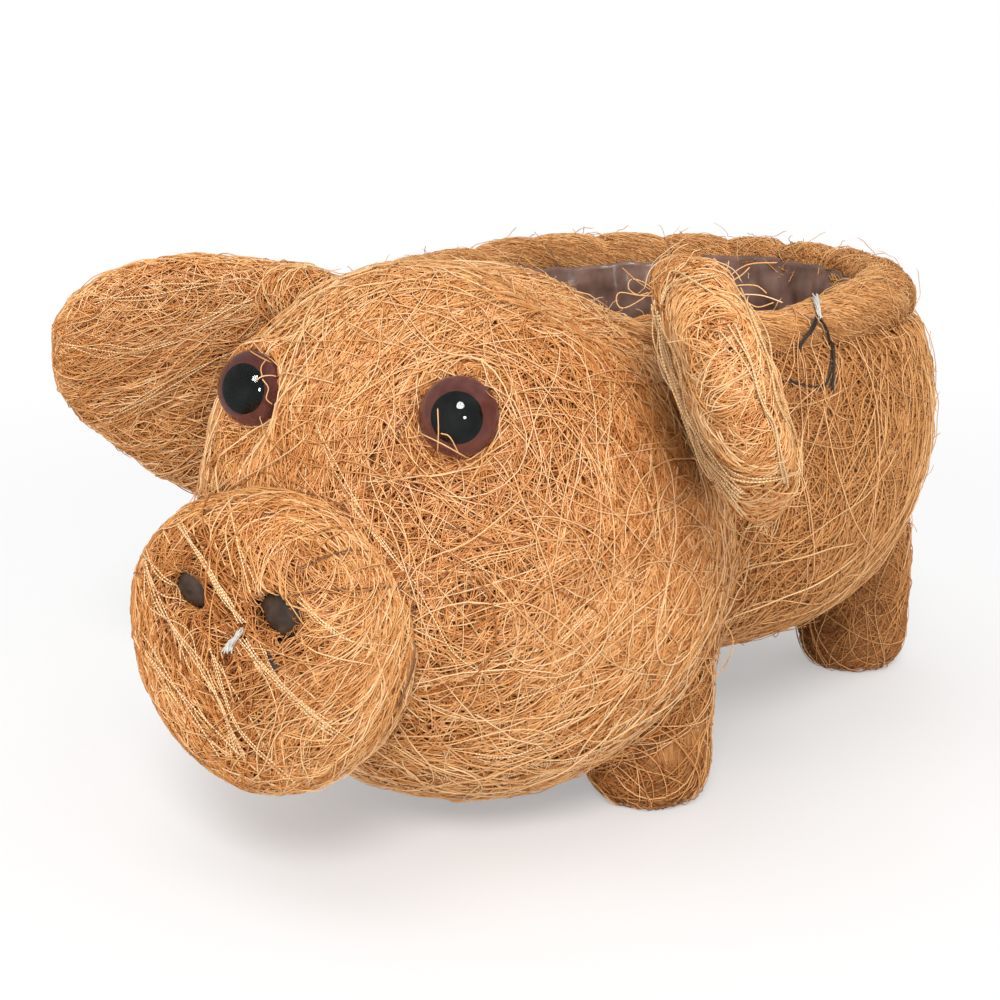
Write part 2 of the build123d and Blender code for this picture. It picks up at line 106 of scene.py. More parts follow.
# Named places of the forms, from the tub's axis.
HEAD_CENTRE = from_tub(0, -80, 73)
HEAD_RADIUS = 69.2 * MM
SNOUT_FRONT = from_tub(0, -167.8, 63)
ROLL_RADIUS = 8.5 * MM
ROLL_RING_RADIUS = 70.48 * MM
ROLL_HEIGHT = 123.0 * MM
MOUTH_RADIUS = 61.98 * MM
TUB_TOP = 117.0 * MM


# Mesh arrays.
def cad_arrays(name):
    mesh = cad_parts[name].data
    mesh.calc_loop_triangles()
    points = np.empty(len(mesh.vertices) * 3)
    mesh.vertices.foreach_get("co", points)
    triangles = np.empty(len(mesh.loop_triangles) * 3, np.int32)
    mesh.loop_triangles.foreach_get("vertices", triangles)
    return points.reshape(-1, 3), triangles.reshape(-1, 3)


def joined(parts):
    points, faces, start = [], [], 0
    for part_points, part_faces in parts:
        points.append(part_points)
        faces.append(part_faces + start)
        start += len(part_points)
    return np.concatenate(points), np.concatenate(faces)


def remeshed(points, faces, voxel):
    # The outer shell of a closed form, as even squares.
    mesh = bpy.data.meshes.new("work")
    mesh.from_pydata(points.tolist(), [], faces.tolist())
    work = new_object("work", mesh)
    change = work.modifiers.new("remesh", "REMESH")
    change.mode = "VOXEL"
    change.voxel_size = voxel
    graph = bpy.context.evaluated_depsgraph_get()
    made = work.evaluated_get(graph).to_mesh()
    points = np.empty(len(made.vertices) * 3)
    made.vertices.foreach_get("co", points)
    corners = np.empty(len(made.loops), np.int32)
    made.loops.foreach_get("vertex_index", corners)
    work.evaluated_get(graph).to_mesh_clear()
    bpy.data.objects.remove(work)
    bpy.data.meshes.remove(mesh)
    return largest_shell(points.reshape(-1, 3), corners.reshape(-1, 4))


def square_edges(squares):
    return np.concatenate([squares[:, [0, 1]], squares[:, [1, 2]], squares[:, [2, 3]], squares[:, [3, 0]]])


def largest_shell(points, squares):
    edges = square_edges(squares)
    label = np.arange(len(points))
    while True:
        lowest = label.copy()
        np.minimum.at(lowest, edges[:, 0], label[edges[:, 1]])
        np.minimum.at(lowest, edges[:, 1], label[edges[:, 0]])
        lowest = lowest[lowest]
        if np.array_equal(lowest, label):
            break
        label = lowest
    names, sizes = np.unique(label, return_counts=True)
    keep = label == names[sizes.argmax()]
    index = np.cumsum(keep) - 1
    kept = squares[keep[squares].all(1)]
    return points[keep], index[kept].astype(np.int32)


def smoothed(points, squares, rounds):
    edges = np.unique(np.sort(square_edges(squares), axis=1), axis=0)
    ends = np.concatenate([edges[:, 0], edges[:, 1]])
    others = np.concatenate([edges[:, 1], edges[:, 0]])
    count = np.bincount(ends, minlength=len(points))
    for _ in range(rounds):
        mean = np.stack(
            [np.bincount(ends, weights=points[others, i], minlength=len(points)) for i in range(3)], 1
        ) / count[:, None]
        points = points + (mean - points) * 0.5
    return points


def unit(vectors):
    return vectors / np.maximum(np.linalg.norm(vectors, axis=-1, keepdims=True), 1e-12)


def distance_from(places, centre):
    return np.linalg.norm(places - np.array(centre), axis=1)


def from_axis(places):
    return np.hypot(places[:, 0] - TUB_AXIS.x, places[:, 1] - TUB_AXIS.y)


def point_normals(points, squares):
    across = points[squares[:, 2]] - points[squares[:, 0]]
    along = points[squares[:, 3]] - points[squares[:, 1]]
    normals = unit(np.cross(across, along))
    total = np.stack([
        np.bincount(squares.ravel(), weights=np.repeat(normals[:, i], 4), minlength=len(points))
        for i in range(3)
    ], 1)
    return unit(total)


def bumps(points, size, seed):
    # Smooth noise from -1 to 1 at each point, with lumps of that size. Each seed gives other lumps.
    shift = Vector((seed * 17.3, seed * 5.1, seed * 9.7))
    return np.array([noise.noise(Vector(point) / size + shift) for point in points.tolist()])


class Guide:
    """A closed form that fibres are laid on."""

    def __init__(self, points, squares):
        self.points = points
        self.squares = squares
        self.tree = BVHTree.FromPolygons(points.tolist(), squares.tolist())
        self.normals = unit(point_normals(points, squares)[squares].mean(1))
        first = points[squares[:, 0]]
        self.areas = np.linalg.norm(
            np.cross(points[squares[:, 2]] - first, points[squares[:, 3]] - points[squares[:, 1]]), axis=1
        ) / 2

    def nearest(self, places):
        spots = np.empty_like(places)
        index = np.empty(len(places), np.int32)
        find = self.tree.find_nearest
        for number, place in enumerate(places.tolist()):
            spot, _, face, _ = find(place)
            spots[number] = spot
            index[number] = face
        return spots, self.normals[index]

    def scatter(self, count, weight=None):
        # Random places on the form, even by area, or by area and a weight for each square.
        share = self.areas
        if weight is not None:
            share = share * weight(self.points[self.squares].mean(1), self.normals)
        chosen = draws.choice(len(self.squares), count, p=share / share.sum())
        corners = self.points[self.squares[chosen]]
        across, along = draws.random((2, count, 1))
        low = corners[:, 0] * (1 - across) + corners[:, 1] * across
        high = corners[:, 3] * (1 - across) + corners[:, 2] * across
        return low * (1 - along) + high * along, self.normals[chosen]


def form_object(name, points, faces, material, slot, nodes=()):
    # A piece that rides with the planter and stands for those nodes.
    mesh = bpy.data.meshes.new(name)
    mesh.from_pydata(points.tolist(), [], faces)
    mesh.shade_smooth()
    mesh.materials.append(material)
    piece = new_object(name, mesh)
    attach(piece, "root")
    if nodes:
        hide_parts(*nodes)
    return piece


# Fibres.
FIBRE_POINTS = 15
FEWEST_POINTS = 4
WANDER = 0.06
DRIFT_KEPT = 0.75
WAVE_HEIGHT = 0.2 * MM
WAVES_IN_ONE = (1.5, 4.0)
CELL_INSET = 0.06
MOST_IN_ONE_PIECE = 2300


def turned_about(vectors, axes, angles):
    cosine = np.cos(angles)[:, None]
    sine = np.sin(angles)[:, None]
    return vectors * cosine + np.cross(axes, vectors) * sine


def laid(guide, starts, normals, headings, lengths, bend, field, pull):
    # Each fibre creeps over the guide from its start, and turns as it goes.
    count = FIBRE_POINTS
    path = np.empty((len(starts), count, 3))
    outward = np.empty((len(starts), count, 3))
    place = starts
    heading = unit(headings - normals * (headings * normals).sum(1, keepdims=True))
    step = (lengths / (count - 1))[:, None]
    turn = bend * lengths / (count - 1)
    drift = np.zeros(len(starts))
    for number in range(count):
        path[:, number] = place
        outward[:, number] = normals
        if field is not None:
            wanted = field(place, normals)
            wanted = wanted * np.sign((wanted * heading).sum(1, keepdims=True) + 1e-9)
            heading = unit(heading * (1 - pull) + wanted * pull)
        heading = unit(heading - normals * (heading * normals).sum(1, keepdims=True))
        drift = drift * DRIFT_KEPT + draws.normal(0, 1, len(starts)) * WANDER
        heading = turned_about(heading, normals, turn + drift)
        place, normals = guide.nearest(place + heading * step)
    return path, outward


def cut_back(path, outward, blocked):
    # A fibre ends where it would enter a blocked zone, and one that starts there is dropped.
    count = path.shape[1]
    inside = blocked(path.reshape(-1, 3)).reshape(path.shape[:2])
    first = np.where(inside.any(1), inside.argmax(1), count)
    keep = first >= FEWEST_POINTS
    path, outward, first = path[keep], outward[keep], first[keep]
    share = np.linspace(0, 1, count)[None, :] * (first[:, None] - 1)
    low = np.minimum(share.astype(int), count - 2)
    part = (share - low)[..., None]
    row = np.arange(len(path))[:, None]
    new_path = path[row, low] * (1 - part) + path[row, low + 1] * part
    new_outward = unit(outward[row, low] * (1 - part) + outward[row, low + 1] * part)
    return new_path, new_outward, keep


def lifted(path, outward, base, arch, rise):
    # Raises fibres off the guide: an even height, an arch in the middle, a rising end and slight waves.
    count = path.shape[1]
    share = np.linspace(0, 1, count)[None, :]
    phase = draws.random((len(path), 1)) * 2 * math.pi
    rate = draws.uniform(*WAVES_IN_ONE, (len(path), 1))
    height = base[:, None] + arch[:, None] * np.sin(math.pi * share) ** 0.8
    height = height + WAVE_HEIGHT * np.sin(phase + share * rate * 2 * math.pi)
    height = height + rise[:, None] * share ** 2
    return path + outward * height[..., None]


def tube_rings(path, outward, radius, sides, twist, flat):
    # Rings of points round each path, but for its two ends.
    ahead_along = np.empty_like(path)
    ahead_along[:, 1:-1] = path[:, 2:] - path[:, :-2]
    ahead_along[:, 0] = path[:, 1] - path[:, 0]
    ahead_along[:, -1] = path[:, -1] - path[:, -2]
    ahead_along = unit(ahead_along)
    side = unit(np.cross(ahead_along, outward))
    top = np.cross(side, ahead_along)
    if twist is not None:
        turned_side = side * np.cos(twist)[..., None] + top * np.sin(twist)[..., None]
        top = top * np.cos(twist)[..., None] - side * np.sin(twist)[..., None]
        side = turned_side
    angles = np.arange(sides) * 2 * math.pi / sides + math.pi / 2
    across = np.cos(angles)[None, None, :, None]
    above = np.sin(angles)[None, None, :, None] * flat
    shape = side[:, 1:-1, None] * across + top[:, 1:-1, None] * above
    return path[:, 1:-1, None] + radius[:, 1:-1, None, None] * shape


def tube_object(name, path, outward, radius, tone, material, slot, sides=3, twist=None, flat=1.0):
    # One piece of many tubes that end in points. Each has its own cell in a map named OFBake.
    number, count = path.shape[:2]
    rings = tube_rings(path, outward, radius, sides, twist, flat)
    middle = count - 2
    per = middle * sides + 2
    points = np.empty((number, per, 3))
    points[:, :-2] = rings.reshape(number, -1, 3)
    points[:, -2] = path[:, 0]
    points[:, -1] = path[:, -1]
    tones = np.empty((number, per))
    tones[:, :-2] = np.repeat(tone[:, 1:-1], sides, axis=1)
    tones[:, -2] = tone[:, 0]
    tones[:, -1] = tone[:, -1]

    ring = np.arange(middle - 1)[:, None]
    corner = np.arange(sides)[None, :]
    after = (corner + 1) % sides
    quads = np.stack([
        ring * sides + corner, ring * sides + after, (ring + 1) * sides + after, (ring + 1) * sides + corner
    ], -1).reshape(-1, 4)
    quad_u = np.stack([ring, ring, ring + 1, ring + 1], -1) + 1 + 0 * corner[..., None]
    quad_v = np.stack([corner, corner + 1, corner + 1, corner], -1) + 0 * ring[..., None]
    corner, after = corner[0], after[0]
    first = np.stack([np.full(sides, per - 2), after, corner], -1)
    last_ring = (middle - 1) * sides
    last = np.stack([np.full(sides, per - 1), last_ring + corner, last_ring + after], -1)
    tip_u = np.stack([np.zeros(sides), np.ones(sides), np.ones(sides)], -1)
    first_v = np.stack([corner + 0.5, corner + 1, corner], -1)
    last_v = np.stack([corner + 0.5, corner, corner + 1], -1)
    loops = np.concatenate([quads.ravel(), first.ravel(), last.ravel()])
    map_u = np.concatenate([quad_u.ravel(), tip_u.ravel(), (count - 1 - tip_u).ravel()]) / (count - 1)
    map_v = np.concatenate([quad_v.ravel(), first_v.ravel(), last_v.ravel()]) / sides
    sizes = np.concatenate([np.full(len(quads), 4), np.full(2 * sides, 3)])

    all_loops = (loops[None, :] + np.arange(number)[:, None] * per).ravel()
    all_sizes = np.tile(sizes, number)
    starts = np.cumsum(all_sizes) - all_sizes
    grid = math.ceil(math.sqrt(number))
    cell = np.arange(number)
    spread = 1 - 2 * CELL_INSET
    cell_u = ((cell % grid)[:, None] + CELL_INSET + spread * map_u[None, :]) / grid
    cell_v = ((cell // grid)[:, None] + CELL_INSET + spread * map_v[None, :]) / grid

    mesh = bpy.data.meshes.new(name)
    mesh.vertices.add(number * per)
    mesh.vertices.foreach_set("co", points.astype(np.float32).ravel())
    mesh.loops.add(len(all_loops))
    mesh.loops.foreach_set("vertex_index", all_loops.astype(np.int32))
    mesh.polygons.add(len(all_sizes))
    mesh.polygons.foreach_set("loop_start", starts.astype(np.int32))
    mesh.update(calc_edges=True)
    layer = mesh.uv_layers.new(name="OFBake")
    layer.data.foreach_set("uv", np.stack([cell_u, cell_v], -1).astype(np.float32).ravel())
    values = mesh.attributes.new("tone", "FLOAT", "POINT")
    values.data.foreach_set("value", np.clip(tones, 0, 1).astype(np.float32).ravel())
    mesh.shade_smooth()
    mesh.materials.append(material)
    piece = new_object(name, mesh)
    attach(piece, "root")
    return piece


def fibre_pieces(name, path, outward, radius, tone, material, slot):
    # Splits many fibres over several pieces, so that each stays light enough to export.
    order = draws.permutation(len(path))
    parts = math.ceil(len(path) / MOST_IN_ONE_PIECE)
    shape = path.shape[:2]
    radius = np.broadcast_to(radius[:, None], shape)
    for number, chosen in enumerate(np.array_split(order, parts)):
        tube_object(f"{name}_{number + 1:02d}", path[chosen], outward[chosen], radius[chosen], tone[chosen],
                    material, slot)


# Materials.
def new_material(name):
    material = bpy.data.materials.new(name)
    material.use_nodes = True
    return material, material.node_tree, material.node_tree.nodes["Principled BSDF"]


def connect(made, sockets):
    # Joins a node's inputs, by name or number, to other nodes' outputs, or sets them to constants.
    for name, value in sockets.items():
        if isinstance(value, bpy.types.NodeSocket):
            made.id_data.links.new(value, made.inputs[name])
        else:
            made.inputs[name].default_value = value


def add_node(tree, kind, sockets=None, **settings):
    made = tree.nodes.new("ShaderNode" + kind)
    for name, value in settings.items():
        setattr(made, name, value)
    connect(made, sockets or {})
    return made


def place_on_object(tree):
    return add_node(tree, "TexCoord").outputs["Object"]


def larger(tree, first, second):
    return add_node(tree, "Math", {0: first, 1: second}, operation="MAXIMUM").outputs["Value"]


def mixed(tree, share, first, second):
    return add_node(tree, "MixShader", {"Fac": share, 1: first, 2: second}).outputs["Shader"]


def ramp_colour(tree, share, stops):
    ramp = add_node(tree, "ValToRGB", {"Fac": share})
    elements = ramp.color_ramp.elements
    while len(elements) < len(stops):
        elements.new(0.5)
    for element, (place, colour) in zip(elements, stops):
        element.position = place
        element.color = (*colour, 1)
    return ramp.outputs["Color"]


def bump_normal(tree, height, strength, distance):
    bump = add_node(tree, "Bump", {"Height": height, "Strength": strength, "Distance": distance})
    return bump.outputs["Normal"]


def fibre_material(name, stops, roughness, shine):
    material, tree, shader = new_material(name)
    tone = add_node(tree, "Attribute", attribute_name="tone").outputs["Fac"]
    connect(shader, {
        "Base Color": ramp_colour(tree, tone, stops), "Roughness": roughness, "Specular IOR Level": shine,
    })
    return material


# Streaks of matted fibre: how each set is turned and stretched, and how many there are over a metre.
STREAK_SETS = (((0.4, 0.2, 0.1), 1.0), ((1.3, 0.7, 0.5), 1.2), ((2.2, 1.1, 1.4), 0.9))
STREAKS_ACROSS, STREAKS_ALONG = 1100, 90


def mat_material(name, dark, light):
    # Matted fibre: several sets of fine crossing streaks over a dark ground, with bump. The dark ground is
    # painted shade for the deep gaps between fibres.
    material, tree, shader = new_material(name)
    place = place_on_object(tree)
    streaks = None
    for turn, stretch in STREAK_SETS:
        scale = (STREAKS_ACROSS * stretch, STREAKS_ACROSS * stretch, STREAKS_ALONG * stretch)
        spin = add_node(tree, "Mapping", {"Vector": place, "Rotation": turn, "Scale": scale})
        lines = add_node(tree, "TexNoise", {
            "Vector": spin.outputs["Vector"], "Scale": 1.0, "Detail": 2.0, "Distortion": 0.6,
        }).outputs["Fac"]
        streaks = lines if streaks is None else larger(tree, streaks, lines)
    connect(shader, {
        "Base Color": ramp_colour(tree, streaks, ((0.48, dark), (0.72, light))),
        "Normal": bump_normal(tree, streaks, 0.8, 0.4 * MM),
        "Roughness": 0.8, "Specular IOR Level": 0.2,
    })
    return material


def speckled_material(name, dark, light, size, roughness, metal=0.0, shine=0.5, spread=0.15, detail=4.0,
                      bump_height=0.0, bump_strength=0.6):
    # A surface whose colour varies softly, with a fine bump where it has a height.
    material, tree, shader = new_material(name)
    grain = add_node(tree, "TexNoise", {
        "Vector": place_on_object(tree), "Scale": 1 / size, "Detail": detail,
    }).outputs["Fac"]
    connect(shader, {
        "Base Color": ramp_colour(tree, grain, ((0.5 - spread, dark), (0.5 + spread, light))),
        "Roughness": roughness, "Metallic": metal, "Specular IOR Level": shine,
    })
    if bump_height:
        connect(shader, {"Normal": bump_normal(tree, grain, bump_strength, bump_height)})
    return material


def film_material(name, dark, light, roughness):
    return speckled_material(name, dark, light, 6.25 * MM, roughness, spread=0.2, detail=5,
                             bump_height=0.5 * MM, bump_strength=0.5)


# Colours from a fibre's darkest tone to its lightest.
GOLDEN_STOPS = (
    (0.0, (0.20, 0.055, 0.009)),
    (0.25, (0.42, 0.132, 0.024)),
    (0.5, (0.62, 0.245, 0.064)),
    (0.75, (0.79, 0.39, 0.132)),
    (1.0, (0.95, 0.62, 0.32)),
)
BROWN_STOPS = (
    (0.0, (0.25, 0.090, 0.025)),
    (0.3, (0.49, 0.205, 0.062)),
    (0.65, (0.69, 0.34, 0.118)),
    (1.0, (0.88, 0.55, 0.27)),
)
THREAD_STOPS = (
    (0.0, (0.36, 0.155, 0.045)),
    (0.5, (0.78, 0.44, 0.17)),
    (1.0, (0.98, 0.76, 0.46)),
)
WHITE_STOPS = (
    (0.0, (0.42, 0.38, 0.33)),
    (1.0, (0.88, 0.86, 0.80)),
)
WIRE_STOPS = (
    (0.0, (0.018, 0.013, 0.011)),
    (0.5, (0.05, 0.034, 0.026)),
    (1.0, (0.30, 0.13, 0.05)),
)
golden_fibre = fibre_material("golden_fibre", GOLDEN_STOPS, 0.38, 0.5)
brown_fibre = fibre_material("brown_fibre", BROWN_STOPS, 0.6, 0.3)
gold_thread = fibre_material("gold_thread", THREAD_STOPS, 0.32, 0.6)
white_thread = fibre_material("white_thread", WHITE_STOPS, 0.7, 0.3)
wire_thread = fibre_material("wire_thread", WIRE_STOPS, 0.5, 0.4)
HEAD_LOOK = (golden_fibre, "fibre_head")
BODY_LOOK = (brown_fibre, "fibre_body")
ROLL_LOOK = (brown_fibre, "fibre_roll")
head_mat = mat_material("head_mat", (0.19, 0.056, 0.010), (0.46, 0.18, 0.045))
body_mat = mat_material("body_mat", (0.27, 0.108, 0.032), (0.52, 0.255, 0.09))


# Rim roll: a rope of fibre with slanting creases, every other one of them held by a tie. Angles are in degrees.
TIE_FIRST = -25.0
TIE_SPAN = 245.0
TIE_STEP = 35.0
TIE_COUNT = 8
LOBES_WITH_TIES = 14
LOBES_UNDER_HEAD = 7
CREASE_DEPTH = 0.22
SAG_MOST = 0.42
SAG_SINK = 1.5 * MM
ROPE_DROP = 2.2 * MM
ROPE_TUCK = 1.4 * MM
PRESSED_SIDE = (-112, -70, -30, 8)
LEFT_SIDE = (-35, 0, 75, 110)
BEHIND_CROWN = (150, 168, 215, 240)


def eased(values, low, high):
    # Rises smoothly from 0 to 1 between two values.
    share = np.clip((values - low) / (high - low), 0, 1)
    return share * share * (3 - 2 * share)


def window(values, low, high, fall_low, fall_high):
    # Rises smoothly from 0 to 1, and falls back to 0 further on.
    return eased(values, low, high) * (1 - eased(values, fall_low, fall_high))


def lobe_phase(around, over):
    # Whole numbers are creases. They slant by one lobe over a turn of the roll.
    past = (np.degrees(around) - TIE_FIRST) % 360
    hidden = (past - TIE_SPAN) / (360 - TIE_SPAN) * LOBES_UNDER_HEAD + LOBES_WITH_TIES
    phase = np.where(past <= TIE_SPAN, past / TIE_SPAN * LOBES_WITH_TIES, hidden)
    return phase + (over - math.pi / 2) / (2 * math.pi)


def rope_places(around, over, extra=0.0):
    # The near side of the roll is pressed flat, its left side drawn in, and it dips behind the crown.
    angle = (np.degrees(around) + 180) % 360 - 180
    sag = window(angle, *PRESSED_SIDE)
    tuck = window(angle, *LEFT_SIDE)
    drop = window(np.degrees(around) % 360, *BEHIND_CROWN)
    phase = lobe_phase(around, over)
    lobe = np.abs(2 * (phase - np.floor(phase)) - 1)
    radius = ROLL_RADIUS * (1 - CREASE_DEPTH * lobe ** 3.5) + extra
    above = np.sin(over)
    height = np.where(above > 0, above * (1 - SAG_MOST * sag), above)
    flat = ROLL_RING_RADIUS - ROPE_TUCK * tuck + radius * np.cos(over)
    return np.stack([
        TUB_AXIS.x + flat * np.cos(around),
        TUB_AXIS.y + flat * np.sin(around),
        ROLL_HEIGHT - SAG_SINK * sag - ROPE_DROP * drop + radius * height,
    ], -1)


def ring_grid(around_count, over_count):
    # A ring's points, by their angles about the tub's axis and about the ring's own middle, and its squares.
    around = np.repeat(np.arange(around_count) * 2 * math.pi / around_count, over_count)
    over = np.tile(np.arange(over_count) * 2 * math.pi / over_count, around_count)
    number = np.arange(around_count * over_count).reshape(around_count, over_count)
    after = np.roll(number, -1, 0)
    squares = np.stack([number, after, np.roll(after, -1, 1), np.roll(number, -1, 1)], -1)
    return around, over, squares.reshape(-1, 4).astype(np.int32)


def halved(squares):
    # Two triangles for each square.
    return np.concatenate([squares[:, :3], squares[:, [0, 2, 3]]])


rope_around, rope_over, rope_squares = ring_grid(630, 44)
rope = rope_places(rope_around, rope_over)
rope_guide = Guide(rope, rope_squares)

# Eyes: where each one sits, and the way it looks.
EYE_SEATS = {"left": (36.3, 34.8, 27.0, 7.0), "right": (-26.4, 35.2, 1.0, 9.0)}
EYE_SEAT_DEPTH = 1.8 * MM
EYE_RADIUS = 9.0 * MM
EYE_EDGE = 2.0 * MM
EYE_CROWN = 8.5 * MM
EYE_BALL = 9.48 * MM


def facing(turn, rise):
    turn, rise = math.radians(turn), math.radians(rise)
    return Vector((math.sin(turn) * math.cos(rise), -math.cos(turn) * math.cos(rise), math.sin(rise)))


class Eye:
    def __init__(self, turn, rise, look_turn, look_rise):
        self.look = facing(look_turn, look_rise)
        self.base = HEAD_CENTRE + facing(turn, rise) * HEAD_RADIUS - self.look * EYE_SEAT_DEPTH
        self.across = Vector((0, 0, 1)).cross(self.look).normalized()
        self.above = self.look.cross(self.across)

    def place(self, radii, heights, angles):
        # Points by radius and height along the way the eye looks.
        radii, heights, angles = np.broadcast_arrays(radii, heights, angles)
        return (
            np.array(self.base)
            + np.array(self.look) * heights[..., None]
            + np.array(self.across) * (radii * np.cos(angles))[..., None]
            + np.array(self.above) * (radii * np.sin(angles))[..., None]
        )

    def along(self, points):
        # How far points lie along the way the eye looks, and how far from that line.
        look = np.array(self.look)
        away = points - np.array(self.base)
        height = away @ look
        return height, np.linalg.norm(away - height[:, None] * look, axis=1)


eyes = {side: Eye(*angles) for side, angles in EYE_SEATS.items()}
DISH_RADIUS = 9.2 * MM
DISH_REACH = 22 * MM
DISH_HEIGHT = 16 * MM
DISH_REST = 0.2 * MM
DISH_SLOPE = 1.1


def dished(points):
    # No fibre stands between an eye's edge and the side it is seen from.
    low = points.copy()
    for eye in eyes.values():
        height, from_line = eye.along(low)
        most = np.maximum(from_line - DISH_RADIUS, 0) * DISH_SLOPE + DISH_REST
        beside = (from_line < DISH_REACH) & (height < DISH_HEIGHT)
        low -= np.where(beside, np.maximum(height - most, 0), 0)[:, None] * np.array(eye.look)
    return low


def turned_form(eye, outline, count=72):
    # A closed form turned about the way an eye looks, from its axis to its axis.
    radii, heights = np.array(outline[1:-1]).T
    angles = np.arange(count) * 2 * math.pi / count
    rings = eye.place(radii[:, None], heights[:, None], angles[None, :]).reshape(-1, 3)
    ends = eye.place(0.0, np.array([outline[0][1], outline[-1][1]]), 0.0)
    points = np.concatenate([rings, ends])
    faces = []
    for ring in range(len(radii) - 1):
        for turn in range(count):
            after = (turn + 1) % count
            faces.append((ring * count + turn, ring * count + after, (ring + 1) * count + after,
                          (ring + 1) * count + turn))
    last = (len(radii) - 1) * count
    for turn in range(count):
        after = (turn + 1) % count
        faces.append((len(rings), after, turn))
        faces.append((len(rings) + 1, last + turn, last + after))
    return points, faces


def triangles_of(faces):
    out = []
    for face in faces:
        out += [(face[0], face[n], face[n + 1]) for n in range(1, len(face) - 1)]
    return np.array(out, np.int32)


def in_metres(outline):
    return [(radius * MM, height * MM) for radius, height in outline]


# The pad of fibre that holds each eye, as radius and height in millimetres.
COLLAR = (
    (0, -11), (8.0, -11), (11.2, -8), (11.9, -2.5), (11.2, -0.8), (10.2, 0.3), (9.4, 0.3), (9.0, -0.5),
    (0, -0.5),
)
collars = []
for eye in eyes.values():
    points, faces = turned_form(eye, in_metres(COLLAR), 40)
    collars.append((points, triangles_of(faces)))

# A web of fibre joins the right ear's root to the crown.
WEB = (
    (-61, -86, 127), (-56, -87, 128), (-51, -88, 128.5), (-46, -90, 128.5), (-41, -92, 128.5), (-36, -93, 128),
    (-30, -93, 127),
)
WEB_RADIUS = 8 * MM


def ball_points(centre, radius):
    mesh = bpy.data.meshes.new("work")
    ball = bmesh.new()
    bmesh.ops.create_icosphere(ball, subdivisions=3, radius=radius, matrix=Matrix.Translation(centre))
    ball.to_mesh(mesh)
    ball.free()
    points = np.array([tuple(vertex.co) for vertex in mesh.vertices])
    faces = np.array([tuple(face.vertices) for face in mesh.polygons], np.int32)
    bpy.data.meshes.remove(mesh)
    return points, faces


web = [ball_points(from_tub(*place), WEB_RADIUS) for place in WEB]

# How the visual forms leave the solids, so that they meet the photograph.
SNOUT_LOWER = 0.93
SOFT_START = (4 * MM, 20 * MM)


def lowered(points):
    # The snout's upper half is a little flatter than its lower half.
    low = points.copy()
    above = np.maximum(points[:, 2] - SNOUT_FRONT.z, 0)
    low[:, 2] -= above * (1 - SNOUT_LOWER) * eased(above, *SOFT_START)
    return low


FAR_EAR_ROOT = np.array(from_tub(-67.5, -85.0, 106.0))
FAR_EAR_OUT = np.array((-0.616, -0.788, 0.0))
FAR_EAR_UP = np.array((0.2695, -0.2107, 0.94))
FAR_EAR_DROP = 6.5 * MM
FAR_EAR_LENGTH = (14 * MM, 52 * MM)
FAR_EAR_FLOOR = (-32 * MM, -4 * MM)


def dropped(points):
    # The far ear's lower edge runs on down towards the cheek.
    away = points - FAR_EAR_ROOT
    by_root = 1 - eased(away @ FAR_EAR_OUT, *FAR_EAR_LENGTH)
    at_bottom = 1 - eased(away @ FAR_EAR_UP, *FAR_EAR_FLOOR)
    low = points.copy()
    low[:, 2] -= FAR_EAR_DROP * by_root * at_bottom
    return low


CROWN_DIPS = ((26, -58, 9, 2.2), (20, -80, 12, 3.6), (-8, -88, 14, 1.3), (34, -84, 8, 2.6))
CROWN_SINK = 3.6
CROWN_BACK = (-98 * MM, -72 * MM, -48 * MM, -38 * MM)
CROWN_HEIGHT = (95 * MM, 130 * MM)
CHEEK_DIP = from_tub(-50, -126, 86)
CHEEK_DIP_SIZE, CHEEK_DIP_DEPTH = 13 * MM, 3.5 * MM
COAT = 0.7 * MM
SIDE_TUCK = 1.6 * MM
SIDE_HEIGHT = (26 * MM, 60 * MM)


def settled(points):
    # The crown sinks a little where it runs into the roll.
    x = points[:, 0] - TUB_AXIS.x
    y = points[:, 1] - TUB_AXIS.y
    behind = window(y, *CROWN_BACK)
    high = eased(points[:, 2], *CROWN_HEIGHT)
    drop = behind * CROWN_SINK * MM
    for place_x, place_y, size, depth in CROWN_DIPS:
        away = (x / MM - place_x) ** 2 + (y / MM - place_y) ** 2
        drop += np.exp(-away / (2 * size ** 2)) * depth * MM
    low = points.copy()
    low[:, 2] -= drop * high
    inward = np.array(HEAD_CENTRE) - low
    beside = np.exp(-(distance_from(points, CHEEK_DIP) / CHEEK_DIP_SIZE) ** 2)
    return low + unit(inward) * (beside * CHEEK_DIP_DEPTH)[:, None]


def tucked(points):
    # The tub is a little flatter on its left side, above the legs.
    away = points - np.array(TUB_AXIS)
    angle = np.degrees(np.arctan2(away[:, 1], away[:, 0]))
    share = window(angle, *LEFT_SIDE) * eased(points[:, 2], *SIDE_HEIGHT)
    away[:, 2] = 0
    return points - unit(away) * (share * SIDE_TUCK)[:, None]


def slimmed(points, squares, depth=COAT):
    # Makes room for the coat of fibre, less so at the feet.
    normals = point_normals(points, squares)
    return points - normals * (depth * eased(points[:, 2], *SOFT_START))[:, None]


# Fibre fills the groove between the roll and the tub.
SHOULDER = (74.2 * MM, 114.0 * MM, 5.2 * MM)


def ring_arrays(ring_radius, height, radius):
    # A plain ring about the tub's axis.
    around, over, squares = ring_grid(180, 14)
    flat = ring_radius + radius * np.cos(over)
    points = np.stack([
        TUB_AXIS.x + flat * np.cos(around), TUB_AXIS.y + flat * np.sin(around), height + radius * np.sin(over)
    ], -1)
    return points, halved(squares)


